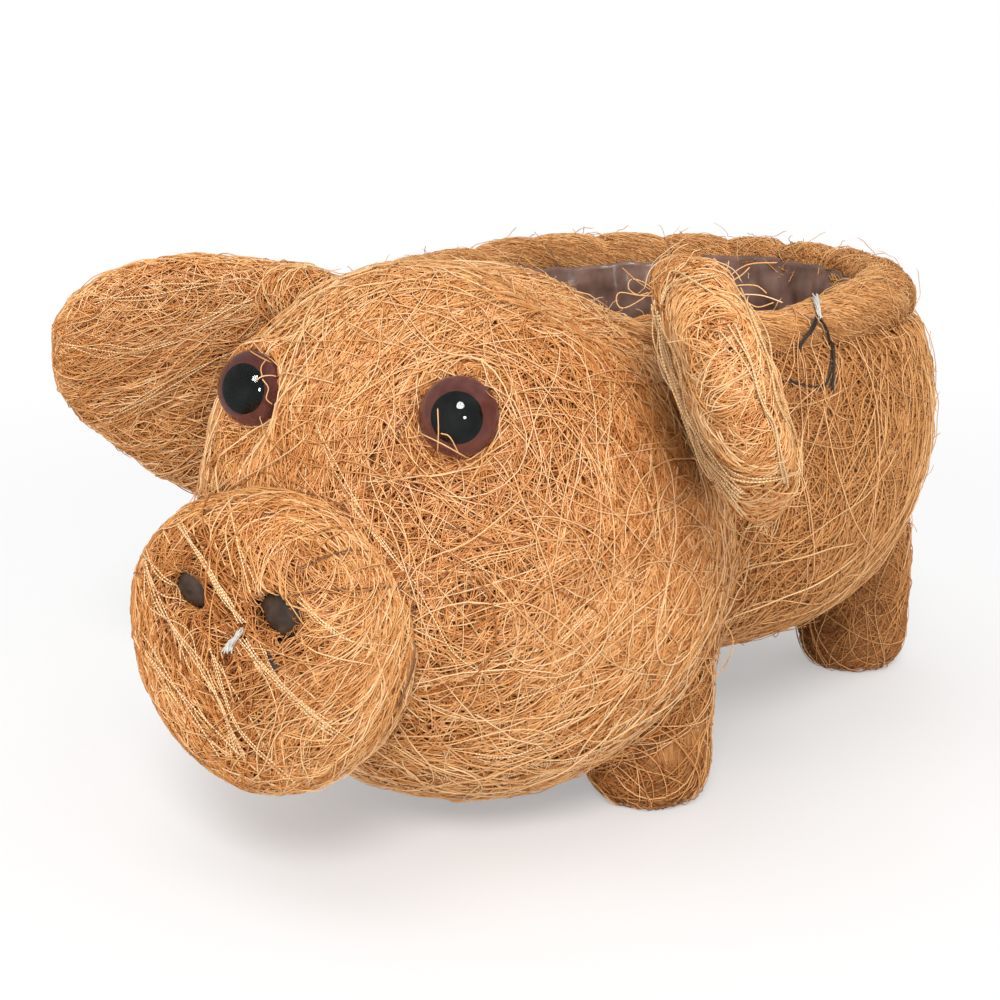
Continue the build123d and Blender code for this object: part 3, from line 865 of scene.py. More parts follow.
# Guides for the fibres, and the skins under them.
LEGS = ("front_left", "front_right", "rear_left", "rear_right")
head_parts = [cad_arrays("head_coir")] + collars + web
tub_parts = [cad_arrays("tub_coir"), ring_arrays(*SHOULDER)]
body_parts = [cad_arrays("liner")] + tub_parts + head_parts
body_parts += [cad_arrays(f"leg_coir_{leg}") for leg in LEGS]
BODY_VOXEL, TUB_VOXEL, FINE_VOXEL = 1.5 * MM, 1.8 * MM, 1.2 * MM
body_points, body_squares = remeshed(*joined(body_parts + [(rope, halved(rope_squares))]), BODY_VOXEL)
body_points = smoothed(body_points, body_squares, 3)


NECK_ALONG = (-82 * MM, -66 * MM, -40 * MM, -24 * MM)
NECK_BESIDE = (18 * MM, 34 * MM)
NECK_START, NECK_END = (8 * MM, 20 * MM), (104 * MM, 116 * MM)


def neck_share(points):
    # 1 in the groove where the head meets the tub, fading out on both.
    between = window(points[:, 1] - TUB_AXIS.y, *NECK_ALONG)
    beside = eased(np.abs(points[:, 0] - TUB_AXIS.x), *NECK_BESIDE)
    return between * beside * eased(points[:, 2], *NECK_START) * (1 - eased(points[:, 2], *NECK_END))


filled = smoothed(body_points, body_squares, 60)
body_points = dished(settled(body_points + (filled - body_points) * neck_share(body_points)[:, None]))
body_points = tucked(slimmed(body_points, body_squares))
body_guide = Guide(body_points, body_squares)
snout_points, snout_squares = remeshed(*cad_arrays("snout_coir"), FINE_VOXEL)
snout_points = lowered(smoothed(snout_points, snout_squares, 2))
snout_points = slimmed(snout_points, snout_squares)
snout_guide = Guide(snout_points, snout_squares)
EAR_COAT = 1.1 * MM
ear_guides = {}
for side in ("left", "right"):
    points, squares = remeshed(*cad_arrays(f"ear_coir_{side}"), FINE_VOXEL)
    points = smoothed(points, squares, 2)
    points = dropped(points) if side == "right" else points
    points = slimmed(points, squares, EAR_COAT)
    normals = point_normals(points, squares)
    ear_guides[side] = Guide(points + normals * (bumps(points, 8 * MM, 5) * 0.9 * MM)[:, None], squares)

# Nostrils, by their middle from the tub's axis, sideways and upward, and half their width and height.
NOSTRILS = {"right": (-10.8, 76.3, 4.6, 4.0), "left": (16.6, 74.2, 6.4, 4.7)}
PIT_DEPTH = 3.4 * MM
PIT_EDGE = (1.05, 1.55)
SNOUT_FACE = 9 * MM


def from_nostril(places, x, z, half_width, half_height):
    # How far places are from a nostril's middle, where its border counts as a millimetre away.
    pit = from_tub(x, 0, z)
    return np.hypot((places[:, 0] - pit.x) / half_width, (places[:, 2] - pit.z) / half_height)


def pitted(points):
    # Shallow pits behind the nostrils.
    low = points.copy()
    front = points[:, 1] < SNOUT_FRONT.y + SNOUT_FACE
    for nostril in NOSTRILS.values():
        from_pit = from_nostril(points, *nostril) / MM
        low[:, 1] += np.where(front, 1 - eased(from_pit, *PIT_EDGE), 0) * PIT_DEPTH
    return low


def make_skin(name, node, parts, material, slot, inset, lump, voxel, forms=(settled, dished)):
    # A matted form that stands for a solid, under the single fibres. Inset and lump are in millimetres.
    points, squares = remeshed(*joined(parts), voxel)
    points = smoothed(points, squares, 2)
    for form in forms:
        points = form(points)
    points = slimmed(points, squares)
    normals = point_normals(points, squares)
    lump = lump * MM
    height = bumps(points, 9 * MM, 1) * lump + bumps(points, 3 * MM, 2) * lump * 0.5 - inset * MM
    skin = form_object(name, points + normals * height[:, None], squares.tolist(), material, slot, [node])


make_skin("head_skin", "head_coir", head_parts, head_mat, "fibre_head", 0.6, 0.4, BODY_VOXEL)
make_skin("snout_skin", "snout_coir", [cad_arrays("snout_coir")], head_mat, "fibre_head", 0.5, 0.3, FINE_VOXEL,
          (lowered, pitted))
for side, forms in (("left", (settled, dished)), ("right", (settled, dished, dropped))):
    ear = f"ear_coir_{side}"
    make_skin(f"ear_skin_{side}", ear, [cad_arrays(ear)], head_mat, "fibre_head", 0.7, 0.3, FINE_VOXEL, forms)
make_skin("tub_skin", "tub_coir", tub_parts, body_mat, "fibre_body", 0.5, 0.4, TUB_VOXEL,
          (settled, dished, tucked))
for leg in LEGS:
    coir = f"leg_coir_{leg}"
    make_skin(f"leg_skin_{leg}", coir, [cad_arrays(coir)], body_mat, "fibre_body", 0.3, 0.3, BODY_VOXEL)
rope_skin = form_object("rim_skin", rope, rope_squares.tolist(), body_mat, "fibre_roll", ["rim_roll"])


# Film liner: crumpled, with an uneven top edge over the roll's inner side.
# The hollow's radius in millimetres by share of its height, and the film's upper edge by degrees.
FILM_WALL = ((0.0, 45.8), (0.09, 56.1), (0.30, 61.6), (0.62, 64.5), (1.0, 61.98))
FILM_EDGE = (
    (-180, 121.5), (-150, 122), (-125, 119.5), (-98, 118.6), (-82, 118.6), (-62, 119), (-48, 120), (-25, 120),
    (8, 122), (38, 126.5), (75, 127.2), (100, 126.3), (118, 123.8), (145, 122), (164, 124), (180, 121.5),
)
FILM_GAP = 1.0 * MM
FILM_THICKNESS = 0.25 * MM
FILM_AROUND, FILM_DOWN, FILM_FLOOR = 300, 56, 22
FILM_RING = 62 * MM
FOLD_DEPTH, FINE_FOLD_DEPTH, CRUMPLE_MOST = 2.4, 0.9, 4 * MM
FLOOR_CRUMPLE = 1.6 * MM
film_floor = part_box("liner")[0].z + FILM_GAP


def hollow_radius(heights):
    wall_shares, wall_radii = np.array(FILM_WALL).T
    return np.interp((heights - film_floor) / (TUB_TOP - film_floor), wall_shares, wall_radii * MM)


def ridges(points, size, seed, sharpness):
    # Sharp ridges with wide hollows between them: 1 along a ridge.
    return 1 - np.abs(bumps(points, size, seed)) * sharpness


angle = np.arange(FILM_AROUND) * 2 * math.pi / FILM_AROUND
cosine, sine = np.cos(angle), np.sin(angle)
edge_angles, edge_heights = np.array(FILM_EDGE).T
film_top = np.interp((np.degrees(angle) + 180) % 360 - 180, edge_angles, edge_heights) * MM
flutter = np.stack([cosine, sine, np.zeros(FILM_AROUND)], 1) * 62 * MM
film_top = film_top + bumps(flutter, 7 * MM, 8) * 1.1 * MM
share = np.linspace(0, 1, FILM_DOWN)[None, :]
film_z = film_top[:, None] * (1 - share) + film_floor * share
film_r = hollow_radius(film_z) - FILM_GAP
film_place = np.stack([
    FILM_RING * cosine[:, None] + 0 * film_z, FILM_RING * sine[:, None] + 0 * film_z, film_z * 0.55
], -1).reshape(-1, 3)
folds = ridges(film_place, 13 * MM, 3, 2.2) * FOLD_DEPTH
creases = ridges(film_place + 0.01, 6 * MM, 4, 2.2) * FINE_FOLD_DEPTH
crumple = (folds + creases).reshape(film_z.shape) * MM
film_r = film_r - np.clip(crumple, 0, CRUMPLE_MOST) * (0.35 + 0.65 * eased(share, 0.0, 0.12))
wall = np.stack([film_r * cosine[:, None], film_r * sine[:, None], film_z], -1)
inward = np.linspace(1, 0.03, FILM_FLOOR + 1)[1:]
floor_r = film_r[:, -1:] * inward[None, :]
floor_place = np.stack([floor_r * cosine[:, None], floor_r * sine[:, None], 0 * floor_r], -1)
floor_lift = ridges(floor_place.reshape(-1, 3), 14 * MM, 6, 2.0).reshape(floor_r.shape)
floor_lift = np.clip(floor_lift, 0, 1) * FLOOR_CRUMPLE * np.minimum(1, (1 - inward) * 6)[None, :]
floor_place[..., 2] = film_floor + floor_lift
film_grid = np.concatenate([wall, floor_place], 1)
film_grid[..., 0] += TUB_AXIS.x
film_grid[..., 1] += TUB_AXIS.y

# The grid goes round, and a fan closes it at its middle.
rows, columns = film_grid.shape[:2]
film_centre = np.array((TUB_AXIS.x, TUB_AXIS.y, film_floor + 0.3 * MM))
film_points = np.concatenate([film_grid.reshape(-1, 3), film_centre[None, :]])
number = np.arange(rows * columns).reshape(rows, columns)
after = np.roll(number, -1, 0)
film_quads = np.stack([number[:, :-1], number[:, 1:], after[:, 1:], after[:, :-1]], -1).reshape(-1, 4)
film_fan = np.stack([number[:, -1], np.full(rows, rows * columns), after[:, -1]], -1)
dark_film = film_material("dark_film", (0.135, 0.074, 0.056), (0.27, 0.155, 0.118), 0.3)
film_faces = film_quads.tolist() + film_fan.tolist()
film_sheet = form_object("film_liner", film_points, film_faces, dark_film, "dark_film", ["liner"])
shell = film_sheet.modifiers.new("thickness", "SOLIDIFY")
shell.thickness = FILM_THICKNESS
shell.offset = 1.0

# Nostrils: crumpled film behind the fibres of the snout.
NOSTRIL_DEPTH = 2.6 * MM
NOSTRIL_REACH = 1.6 * MM
NOSTRIL_BACK = -163.7
pit_film = film_material("pit_film", (0.020, 0.012, 0.008), (0.115, 0.068, 0.045), 0.5)
for seed, side in ((11, "right"), (12, "left")):
    x, z, half_width, half_height = NOSTRILS[side]
    points, faces = ball_points(Vector((0, 0, 0)), 1.0)
    folded = ridges(points, 0.55, seed, 2) * 0.30 + ridges(points, 0.25, seed, 2) * 0.16
    points = points * (1.0 + folded[:, None] * 0.8 - 0.25)
    size = np.array((half_width * MM + NOSTRIL_REACH, NOSTRIL_DEPTH, half_height * MM + NOSTRIL_REACH))
    points = points * size + np.array(from_tub(x, NOSTRIL_BACK, z))
    form_object(f"nostril_film_{side}", points, faces.tolist(), pit_film, "dark_film", [f"nostril_tuft_{side}"])


# Where a pixel of the photograph meets the object.
FRONT_TREES = [body_guide, snout_guide, ear_guides["left"], ear_guides["right"], rope_guide]


def front_hit(x, y, trees=FRONT_TREES):
    # The first surface that a pixel sees, with its normal.
    direction = sight(x, y)
    best = None
    for guide in trees:
        spot, _, face, far = guide.tree.ray_cast(CAMERA_PLACE, direction)
        if spot is not None and (best is None or far < best[2]):
            best = (np.array(spot), guide.normals[face], far)
    return best


def eye_hit(x, y):
    # Where a pixel meets an eye's dome, with its normal.
    direction = sight(x, y)
    for eye in eyes.values():
        centre = eye.base + eye.look * (EYE_CROWN - EYE_BALL)
        offset = CAMERA_PLACE - centre
        half = offset.dot(direction)
        inside = half * half - (offset.length_squared - (EYE_BALL + 0.15 * MM) ** 2)
        if inside > 0:
            far = -half - math.sqrt(inside)
            spot = CAMERA_PLACE + direction * far
            if (spot - eye.base).dot(eye.look) > EYE_EDGE:
                return np.array(spot), np.array((spot - centre).normalized()), far
    return None


# Zones that fibres keep out of.
LIP_RADIUS = 56.4 * MM
LIP_START = 0.5 * MM
GROUND = 0.2 * MM
EYE_KEPT = 8.95 * MM
EYE_UNDER = 0.8 * MM
HOLLOW_UNDER = 2 * MM
HOLLOW_TOP = 121 * MM
MOUTH_COVERED = 1.5 * MM
TEAR_SIZE, TEAR_DEPTH = 2.5 * MM, 0.35
NOSTRIL_FACE = 12 * MM


def on_lip(places):
    # The head overhangs the opening a little.
    return (places[:, 2] > TUB_TOP + LIP_START) & (distance_from(places, HEAD_CENTRE) < HEAD_RADIUS + MM)


def blocked(places):
    # The ground, the eyes, the opening and the nostrils.
    bad = places[:, 2] < GROUND
    for eye in eyes.values():
        height, from_line = eye.along(places)
        bad |= (from_line < EYE_KEPT) & (height > -EYE_UNDER)
    away = from_axis(places)
    lip = on_lip(places)
    inside = places[:, 2] > film_floor - HOLLOW_UNDER
    bad |= (away < hollow_radius(places[:, 2]) + MM) & inside & (places[:, 2] < HOLLOW_TOP) & ~lip
    bad |= (away < np.where(lip, LIP_RADIUS, MOUTH_RADIUS - MOUTH_COVERED)) & inside
    ragged = 1 + bumps(places, TEAR_SIZE, 17) * TEAR_DEPTH
    for nostril in NOSTRILS.values():
        bad |= (from_nostril(places, *nostril) * ragged < MM) & (places[:, 1] < SNOUT_FRONT.y + NOSTRIL_FACE)
    return bad


# Darker spots: stains on the snout by place and size in millimetres, and painted shade on the head, mostly
# where the snout and the ears shade it, by pixel, size and depth.
SNOUT_STAINS = ((-10.8, 76.3, 8.5), (16.6, 74.2, 10.5), (4.0, 72.0, 9.0), (8.0, 60.0, 8.0))
SNOUT_STAIN_DEPTH = 0.5
HEAD_PAINTED_SHADE = (
    (300, 468, 10, 0.28), (345, 488, 10, 0.30), (392, 540, 9, 0.32), (412, 610, 8, 0.30), (640, 470, 12, 0.22),
    (560, 350, 12, 0.14), (690, 545, 9, 0.16), (300, 300, 10, 0.22),
)
head_painted_shade = [(front_hit(x, y, [body_guide])[0], size * MM, depth) for x, y, size, depth in HEAD_PAINTED_SHADE]


def stain_and_painted_shade(places):
    # How much darker fibres are that start there: stains on the snout, and painted shade on the head.
    dark = np.zeros(len(places))
    front = places[:, 1] < SNOUT_FRONT.y + SNOUT_FACE
    for x, z, size in SNOUT_STAINS:
        pit = from_tub(x, 0, z)
        from_pit = np.hypot(places[:, 0] - pit.x, places[:, 2] - pit.z) / (size * MM)
        dark = np.maximum(dark, np.exp(-from_pit ** 2))
    dark = np.where(front, dark, 0) * SNOUT_STAIN_DEPTH
    for spot, size, depth in head_painted_shade:
        dark = np.maximum(dark, np.exp(-(distance_from(places, spot) / size) ** 2) * depth)
    return dark


def sideways(normals):
    # Any direction along the surface.
    random = draws.normal(0, 1, normals.shape)
    return unit(random - normals * (random * normals).sum(1, keepdims=True))


FIBRE_SHARE = 1.0
STRAIGHT_SHARE = 0.65
PATCH_SIZE, PATCH_DEPTH = 11 * MM, 0.12
LOWEST = 0.25 * MM


def cover(name, guide, count, weight, length, thickness, tone, look, field=None, spread=3.2, pull=0.0,
          base=(0.0, 0.8), arch=(0.0, 0.6), bend=(45, 110), rise=(0.0, 0.0), zones=True):
    # A coat of fibres over part of a guide. Lengths are in millimetres, and a look is a material and a slot;
    # the slot is not used.
    count = int(count * FIBRE_SHARE)
    starts, normals = guide.scatter(count, weight)
    # Random patches of tone, less the snout's stains and the head's painted shade.
    patches_and_painted_shade = bumps(starts, PATCH_SIZE, 21) * PATCH_DEPTH - stain_and_painted_shade(starts)
    lengths = draws.uniform(*length, count) * MM
    if field is None:
        headings = sideways(normals)
    else:
        headings = turned_about(unit(field(starts, normals)), normals, draws.normal(0, spread, count))
        headings = headings * draws.choice([-1, 1], count)[:, None]
    curl = np.where(draws.random(count) < STRAIGHT_SHARE, bend[0], bend[1]) * draws.normal(0, 1, count)
    path, outward = laid(guide, starts, normals, headings, lengths, curl, field, pull)
    if zones:
        path, outward, keep = cut_back(path, outward, blocked)
        patches_and_painted_shade = patches_and_painted_shade[keep]
    number = len(path)
    height = draws.uniform(*base, number) * MM
    lift = draws.uniform(*arch, number) ** 2 * MM
    path = lifted(path, outward, height, lift, draws.uniform(*rise, number) * MM)
    path[..., 2] = np.maximum(path[..., 2], LOWEST)
    radius = draws.uniform(*thickness, number) / 2 * MM
    # Fibres that stand higher get lighter tones: painted light over painted shade deeper in the coat.
    own = draws.uniform(*tone, number) + (height / MM) * 0.1 + patches_and_painted_shade
    along = np.linspace(-1, 1, path.shape[1])[None, :] * draws.normal(0, 0.06, (number, 1))
    fibre_pieces(name, path, outward, radius, own[:, None] + along, *look)


# Where each coat starts and ends.
OPENING_MARGIN, OPENING_UNDER, OPENING_TOP = 1.5 * MM, 3 * MM, 122 * MM
HEAD_MARGIN = 1.5 * MM
HEAD_BACK, HEAD_UNDER = -70 * MM, 55 * MM
HEAD_LEAST = 0.3 * MM
LEG_TOP = 31 * MM
ROPE_BOTTOM, ROPE_OVERLAP = 117.5 * MM, 2 * MM
ROLL_MARGIN = 0.6 * MM
TUB_BOTTOM = 24 * MM


def share_of(chosen):
    return np.where(chosen, 1.0, 0.0)


def outside(places):
    # Leaves out the inside of the tub, which the liner covers.
    near = from_axis(places) < hollow_radius(places[:, 2]) + OPENING_MARGIN
    between = (places[:, 2] > film_floor - OPENING_UNDER) & (places[:, 2] < OPENING_TOP)
    return share_of(~(near & between & ~on_lip(places)))


def on_head(places, normals):
    near = distance_from(places, HEAD_CENTRE) < HEAD_RADIUS + HEAD_MARGIN
    near |= (places[:, 1] - TUB_AXIS.y < HEAD_BACK) & (places[:, 2] > HEAD_UNDER)
    return share_of(near & (places[:, 2] > HEAD_LEAST)) * outside(places)


def on_leg(places, normals):
    low = (places[:, 2] < LEG_TOP) & (distance_from(places, HEAD_CENTRE) > HEAD_RADIUS + MM)
    return share_of(low) * outside(places)


def on_rope(places, normals):
    away = distance_from(places, HEAD_CENTRE) > HEAD_RADIUS - ROPE_OVERLAP
    return share_of((places[:, 2] > ROPE_BOTTOM) & away)


def on_tub(places, normals):
    from_roll = np.hypot(from_axis(places) - ROLL_RING_RADIUS, places[:, 2] - ROLL_HEIGHT)
    roll = share_of(from_roll >= ROLL_RADIUS + ROLL_MARGIN)
    return (1 - on_head(places, normals)) * roll * outside(places) * share_of(places[:, 2] > TUB_BOTTOM)


def around_snout(places, normals):
    away = places - np.array(SNOUT_FRONT)
    along = np.stack([away[:, 2], np.zeros(len(away)), -away[:, 0]], 1)
    return unit(along + 1e-9)


def around_tub(places, normals):
    away = places - np.array(TUB_AXIS)
    return unit(np.stack([-away[:, 1], away[:, 0], np.zeros(len(away))], 1))


def along_rope(places, normals):
    # Fibres of the roll run with it and wind slowly round it.
    run = around_tub(places, normals)
    return unit(run + np.cross(normals, run) * -0.35)


def level_with(direction, normals):
    # That direction, laid flat on the surface at each place.
    return unit(direction[None, :] - normals * (normals @ direction)[:, None] + 1e-9)


def upward(places, normals):
    return level_with(np.array((0.0, 0.0, 1.0)), normals)


EAR_SWEEP = math.radians(52)


def along_ear(side):
    sign = 1 if side == "left" else -1
    out = np.array((sign * math.cos(EAR_SWEEP), -math.sin(EAR_SWEEP), 0.0))
    return lambda places, normals: level_with(out, normals)


# Lines drawn through pixels of the photograph.
def curved(points, count):
    # A smooth line through the points, as that many places.
    points = np.array(points, float)
    ends = np.concatenate([2 * points[:1] - points[1:2], points, 2 * points[-1:] - points[-2:-1]])
    share = np.linspace(0, len(points) - 1, count)
    low = np.minimum(share.astype(int), len(points) - 2)
    part = (share - low)[:, None]
    a, b, c, d = (ends[low + n] for n in range(4))
    return 0.5 * (2 * b + (c - a) * part + (2 * a - 5 * b + 4 * c - d) * part ** 2
                  + (3 * b - a - 3 * c + d) * part ** 3)


STEP_MOST = 7 * MM
# What a line that meets no surface takes: the way to the camera, and the object's distance.
OPEN_AIR = (None, np.array(-ahead), 0.45)


def draped(pixels, count, lift, arch=0.0, evened=4, trees=FRONT_TREES, trim=False):
    # A line over the object's near side, through pixels, raised off it. Trimmed, it ends where the object ends.
    places = curved(pixels, count)
    hits = [eye_hit(x, y) or front_hit(x, y, trees) for x, y in places]
    known = [n for n, hit in enumerate(hits) if hit is not None]
    if known:
        nearest = min(known, key=lambda k: hits[k][2])
        for run in (range(nearest + 1, count), range(nearest - 1, -1, -1)):
            last = hits[nearest][2]
            for n in run:
                if hits[n] is not None and abs(hits[n][2] - last) > STEP_MOST:
                    hits[n] = None
                if hits[n] is not None:
                    last = hits[n][2]
        known = [n for n in known if hits[n] is not None]
    if trim and len(known) < count // 3:
        return None
    path, outward = np.empty((count, 3)), np.empty((count, 3))
    for n, (x, y) in enumerate(places):
        _, outward[n], far = hits[min(known, key=lambda k: abs(k - n))] if known else OPEN_AIR
        path[n] = np.array(CAMERA_PLACE + sight(x, y) * far)
    for _ in range(evened):
        path[1:-1] = (path[:-2] + 2 * path[1:-1] + path[2:]) / 4
        outward[1:-1] = unit(outward[:-2] + 2 * outward[1:-1] + outward[2:])
    height = lift + arch * np.sin(math.pi * np.linspace(0, 1, count))
    kept = slice(known[0], known[-1] + 1) if trim else slice(None)
    return (path + outward * height[:, None])[kept], outward[kept]


def ordered(path, outward, count):
    # The same line with even steps.
    gone = np.concatenate([[0], np.cumsum(np.linalg.norm(np.diff(path, axis=0), axis=1))])
    at = np.linspace(0, gone[-1], count)
    even = np.stack([np.interp(at, gone, path[:, n]) for n in range(3)], 1)
    out = unit(np.stack([np.interp(at, gone, outward[:, n]) for n in range(3)], 1))
    return even, out, gone[-1]


# Binding thread: two plies of gold, as a flat section that turns along the thread, with painted highlights and
# shade that follow the twist.
THREAD_POINTS = 190
THREAD_PITCH = 1.5 * MM
PLY_FLATNESS = 0.62


def threads(name, lines, thickness, look, lift, shade, trees):
    # Each line is a number of copies, how far they stray in pixels, and the pixels it runs through.
    paths, outwards, twists, tones = [], [], [], []
    for copies, stray, pixels in lines:
        for _ in range(copies):
            moved = np.array(pixels, float) + draws.normal(0, stray, (len(pixels), 2))
            drawn = draped(moved, 48, draws.uniform(lift * 0.75, lift * 1.25) * MM, trees=trees, trim=True)
            if drawn is None:
                continue
            path, outward, length = ordered(*drawn, THREAD_POINTS)
            turn = np.linspace(0, length / THREAD_PITCH * 2 * math.pi, THREAD_POINTS) + draws.random() * 6
            paths.append(path)
            outwards.append(outward)
            twists.append(turn)
            # The tone swings with the twist: painted highlights and shade on the plies.
            tones.append(np.interp(np.sin(turn * 2), (-1, 1), shade) + draws.normal(0, 0.06))
    radius = np.full((len(paths), THREAD_POINTS), thickness / 2 * MM)
    tube_object(f"{name}_1", np.array(paths), np.array(outwards), radius, np.array(tones), *look,
                sides=6, twist=np.array(twists), flat=PLY_FLATNESS)


SNOUT_THREADS = (
    (7, 2.2, ((183, 524), (205, 560), (228, 596), (246, 622))),
    (5, 3.0, ((246, 640), (268, 668), (300, 700), (330, 722))),
    (5, 4.0, ((144, 566), (161, 604), (178, 630), (204, 668), (226, 703), (244, 758))),
    (3, 5.0, ((150, 548), (164, 580), (186, 612))),
    (3, 4.0, ((262, 645), (286, 680), (318, 715), (350, 735))),
    (3, 5.0, ((215, 655), (250, 720), (290, 775))),
    (2, 4.0, ((340, 492), (372, 540), (392, 580), (404, 640))),
    (3, 6.0, ((300, 600), (345, 640), (390, 648))),
    (2, 5.0, ((232, 498), (238, 540), (250, 590))),
    (3, 8.0, ((150, 640), (180, 700), (225, 760))),
)
HEAD_THREADS = (
    (2, 2.0, ((321, 428), (340, 470), (372, 520), (402, 568))),
    (2, 2.0, ((343, 493), (378, 535), (418, 587))),
    (1, 1.0, ((420, 591), (436, 620), (455, 650), (490, 674))),
    (2, 2.0, ((474, 749), (505, 748), (540, 738))),
    (2, 2.0, ((420, 768), (455, 774), (487, 775), (519, 768))),
    (2, 2.0, ((538, 760), (575, 755), (607, 741), (634, 714))),
    (1, 1.0, ((551, 642), (600, 602), (656, 556))),
    (1, 1.0, ((662, 516), (666, 540), (665, 564))),
    (1, 1.0, ((701, 527), (706, 552), (707, 580))),
    (1, 1.0, ((384, 462), (430, 540), (520, 580), (575, 558))),
    (1, 1.0, ((606, 380), (607, 420), (604, 455), (612, 500))),
    (1, 1.0, ((500, 700), (560, 680), (610, 640), (660, 600))),
    (1, 1.0, ((300, 300), (350, 312), (400, 302), (440, 288))),
)
LEFT_EAR_THREADS = (
    (9, 2.5, ((661, 300), (669, 336), (683, 385), (699, 430), (718, 468), (746, 506))),
    (6, 3.0, ((666, 310), (678, 360), (695, 410), (715, 452), (744, 490))),
    (5, 2.0, ((662, 312), (673, 353), (685, 395), (696, 425), (709, 455), (730, 488))),
    (4, 2.5, ((733, 292), (752, 340), (772, 400), (792, 450), (799, 486))),
    (3, 4.0, ((728, 330), (748, 380), (770, 430), (782, 480))),
    (3, 7.0, ((668, 300), (690, 286), (714, 292))),
    (2, 4.0, ((700, 440), (740, 470), (788, 470))),
)
RIGHT_EAR_THREADS = (
    (3, 4.0, ((72, 347), (110, 352), (140, 348), (172, 337))),
    (3, 4.0, ((195, 324), (222, 312), (242, 296))),
    (3, 6.0, ((110, 415), (160, 385), (225, 350))),
    (2, 4.0, ((90, 300), (150, 290), (230, 280))),
)
for name, lines, thickness, lift, guide in (
    ("snout_thread", SNOUT_THREADS, 0.40, 1.05, snout_guide),
    ("head_thread", HEAD_THREADS, 0.38, 1.4, body_guide),
    ("left_ear_thread", LEFT_EAR_THREADS, 0.46, 1.9, ear_guides["left"]),
    ("right_ear_thread", RIGHT_EAR_THREADS, 0.38, 1.2, ear_guides["right"]),
):
    threads(name, lines, thickness, (gold_thread, "fibre_head"), lift, (0.3, 1.0), [guide])

# Loose single fibres that the photograph shows one by one: lift and arch in millimetres, then pixels.
LOOSE = (
    (1.2, 0.5, ((669, 570), (715, 572), (741, 588), (728, 596), (685, 580))),
    (1.2, 0.5, ((688, 588), (723, 626), (725, 650), (709, 674), (699, 655), (709, 639))),
    (1.2, 0.3, ((666, 653), (695, 655), (723, 661))),
    (0.15, 0.2, ((404, 424), (418, 431), (445, 444), (469, 458), (486, 470))),
    (0.15, 0.1, ((438, 408), (439, 430), (438, 452), (437, 468))),
    (0.15, 0.2, ((441, 433), (450, 436), (458, 451))),
    (0.3, 0.2, ((250, 352), (261, 359), (280, 368), (299, 375))),
    (0.2, 0.2, ((256, 381), (262, 377), (272, 376), (280, 379))),
    (0.2, 0.1, ((262, 377), (261, 368), (266, 360))),
    (0.2, 0.1, ((262, 379), (268, 388), (266, 398), (272, 404))),
    (1.4, 1.0, ((300, 784), (318, 780), (330, 768), (336, 752))),
    (1.4, 1.5, ((404, 590), (425, 560), (470, 540), (520, 500))),
    (1.0, 1.0, ((356, 498), (396, 520), (416, 560), (420, 610))),
    (1.0, 1.0, ((340, 500), (390, 505), (410, 545), (408, 590))),
    (1.2, 1.0, ((430, 380), (500, 330), (560, 318), (640, 340))),
    (1.2, 0.8, ((330, 340), (390, 300), (460, 300), (540, 330))),
    (1.0, 0.8, ((300, 420), (352, 402), (410, 372), (480, 356), (540, 380))),
    (1.0, 0.8, ((420, 480), (470, 520), (560, 540), (640, 520))),
    (1.0, 0.8, ((560, 420), (600, 480), (610, 560), (590, 640))),
    (1.0, 0.8, ((450, 620), (520, 600), (580, 640), (600, 700))),
    (1.0, 1.0, ((770, 420), (800, 480), (810, 560), (800, 600))),
    (1.0, 1.0, ((850, 330), (870, 400), (872, 480), (860, 540))),
    (1.0, 1.0, ((820, 400), (830, 460), (850, 520), (880, 560))),
)
EAR_HAIRS = (
    (0.5, 0.5, ((716, 288), (725, 279), (745, 267), (776, 264))),
    (0.5, 0.5, ((718, 292), (729, 283), (738, 277), (748, 268))),
    (0.5, 0.5, ((720, 292), (732, 288), (752, 288), (765, 295))),
    (0.5, 0.5, ((722, 298), (736, 297), (758, 298), (781, 304))),
    (0.5, 0.5, ((726, 302), (740, 304), (754, 310), (772, 304))),
    (0.5, 0.5, ((736, 318), (754, 317), (767, 319), (787, 315))),
    (0.5, 0.5, ((664, 296), (649, 283), (636, 279), (633, 288), (642, 295), (652, 292))),
    (0.5, 0.5, ((660, 296), (642, 295), (624, 292), (621, 301), (627, 308), (642, 301), (656, 290))),
    (0.5, 0.5, ((650, 290), (636, 281), (622, 268))),
    (0.5, 0.5, ((712, 284), (722, 274), (727, 262))),
    (0.5, 0.5, ((708, 280), (714, 268), (712, 260))),
    (0.5, 0.5, ((690, 268), (692, 258), (700, 252))),
)
loose_paths, loose_outwards = [], []
for lines, trees in ((LOOSE, [body_guide, snout_guide]), (EAR_HAIRS, [ear_guides["left"]])):
    for lift, arch, pixels in lines:
        path, outward, _ = ordered(*draped(pixels, 60, lift * MM, arch * MM, trees=trees), 60)
        loose_paths.append(path)
        loose_outwards.append(outward)
loose_paths, loose_outwards = np.array(loose_paths), np.array(loose_outwards)
loose_radius = np.full(loose_paths.shape[:2], 0.15 * MM)
loose_radius[len(LOOSE):] = 0.13 * MM
loose_tone = np.full(loose_paths.shape[:2], 0.85) + draws.normal(0, 0.08, (len(loose_paths), 1))
tube_object("loose_fibres", loose_paths, loose_outwards, loose_radius, loose_tone, *HEAD_LOOK, sides=5)

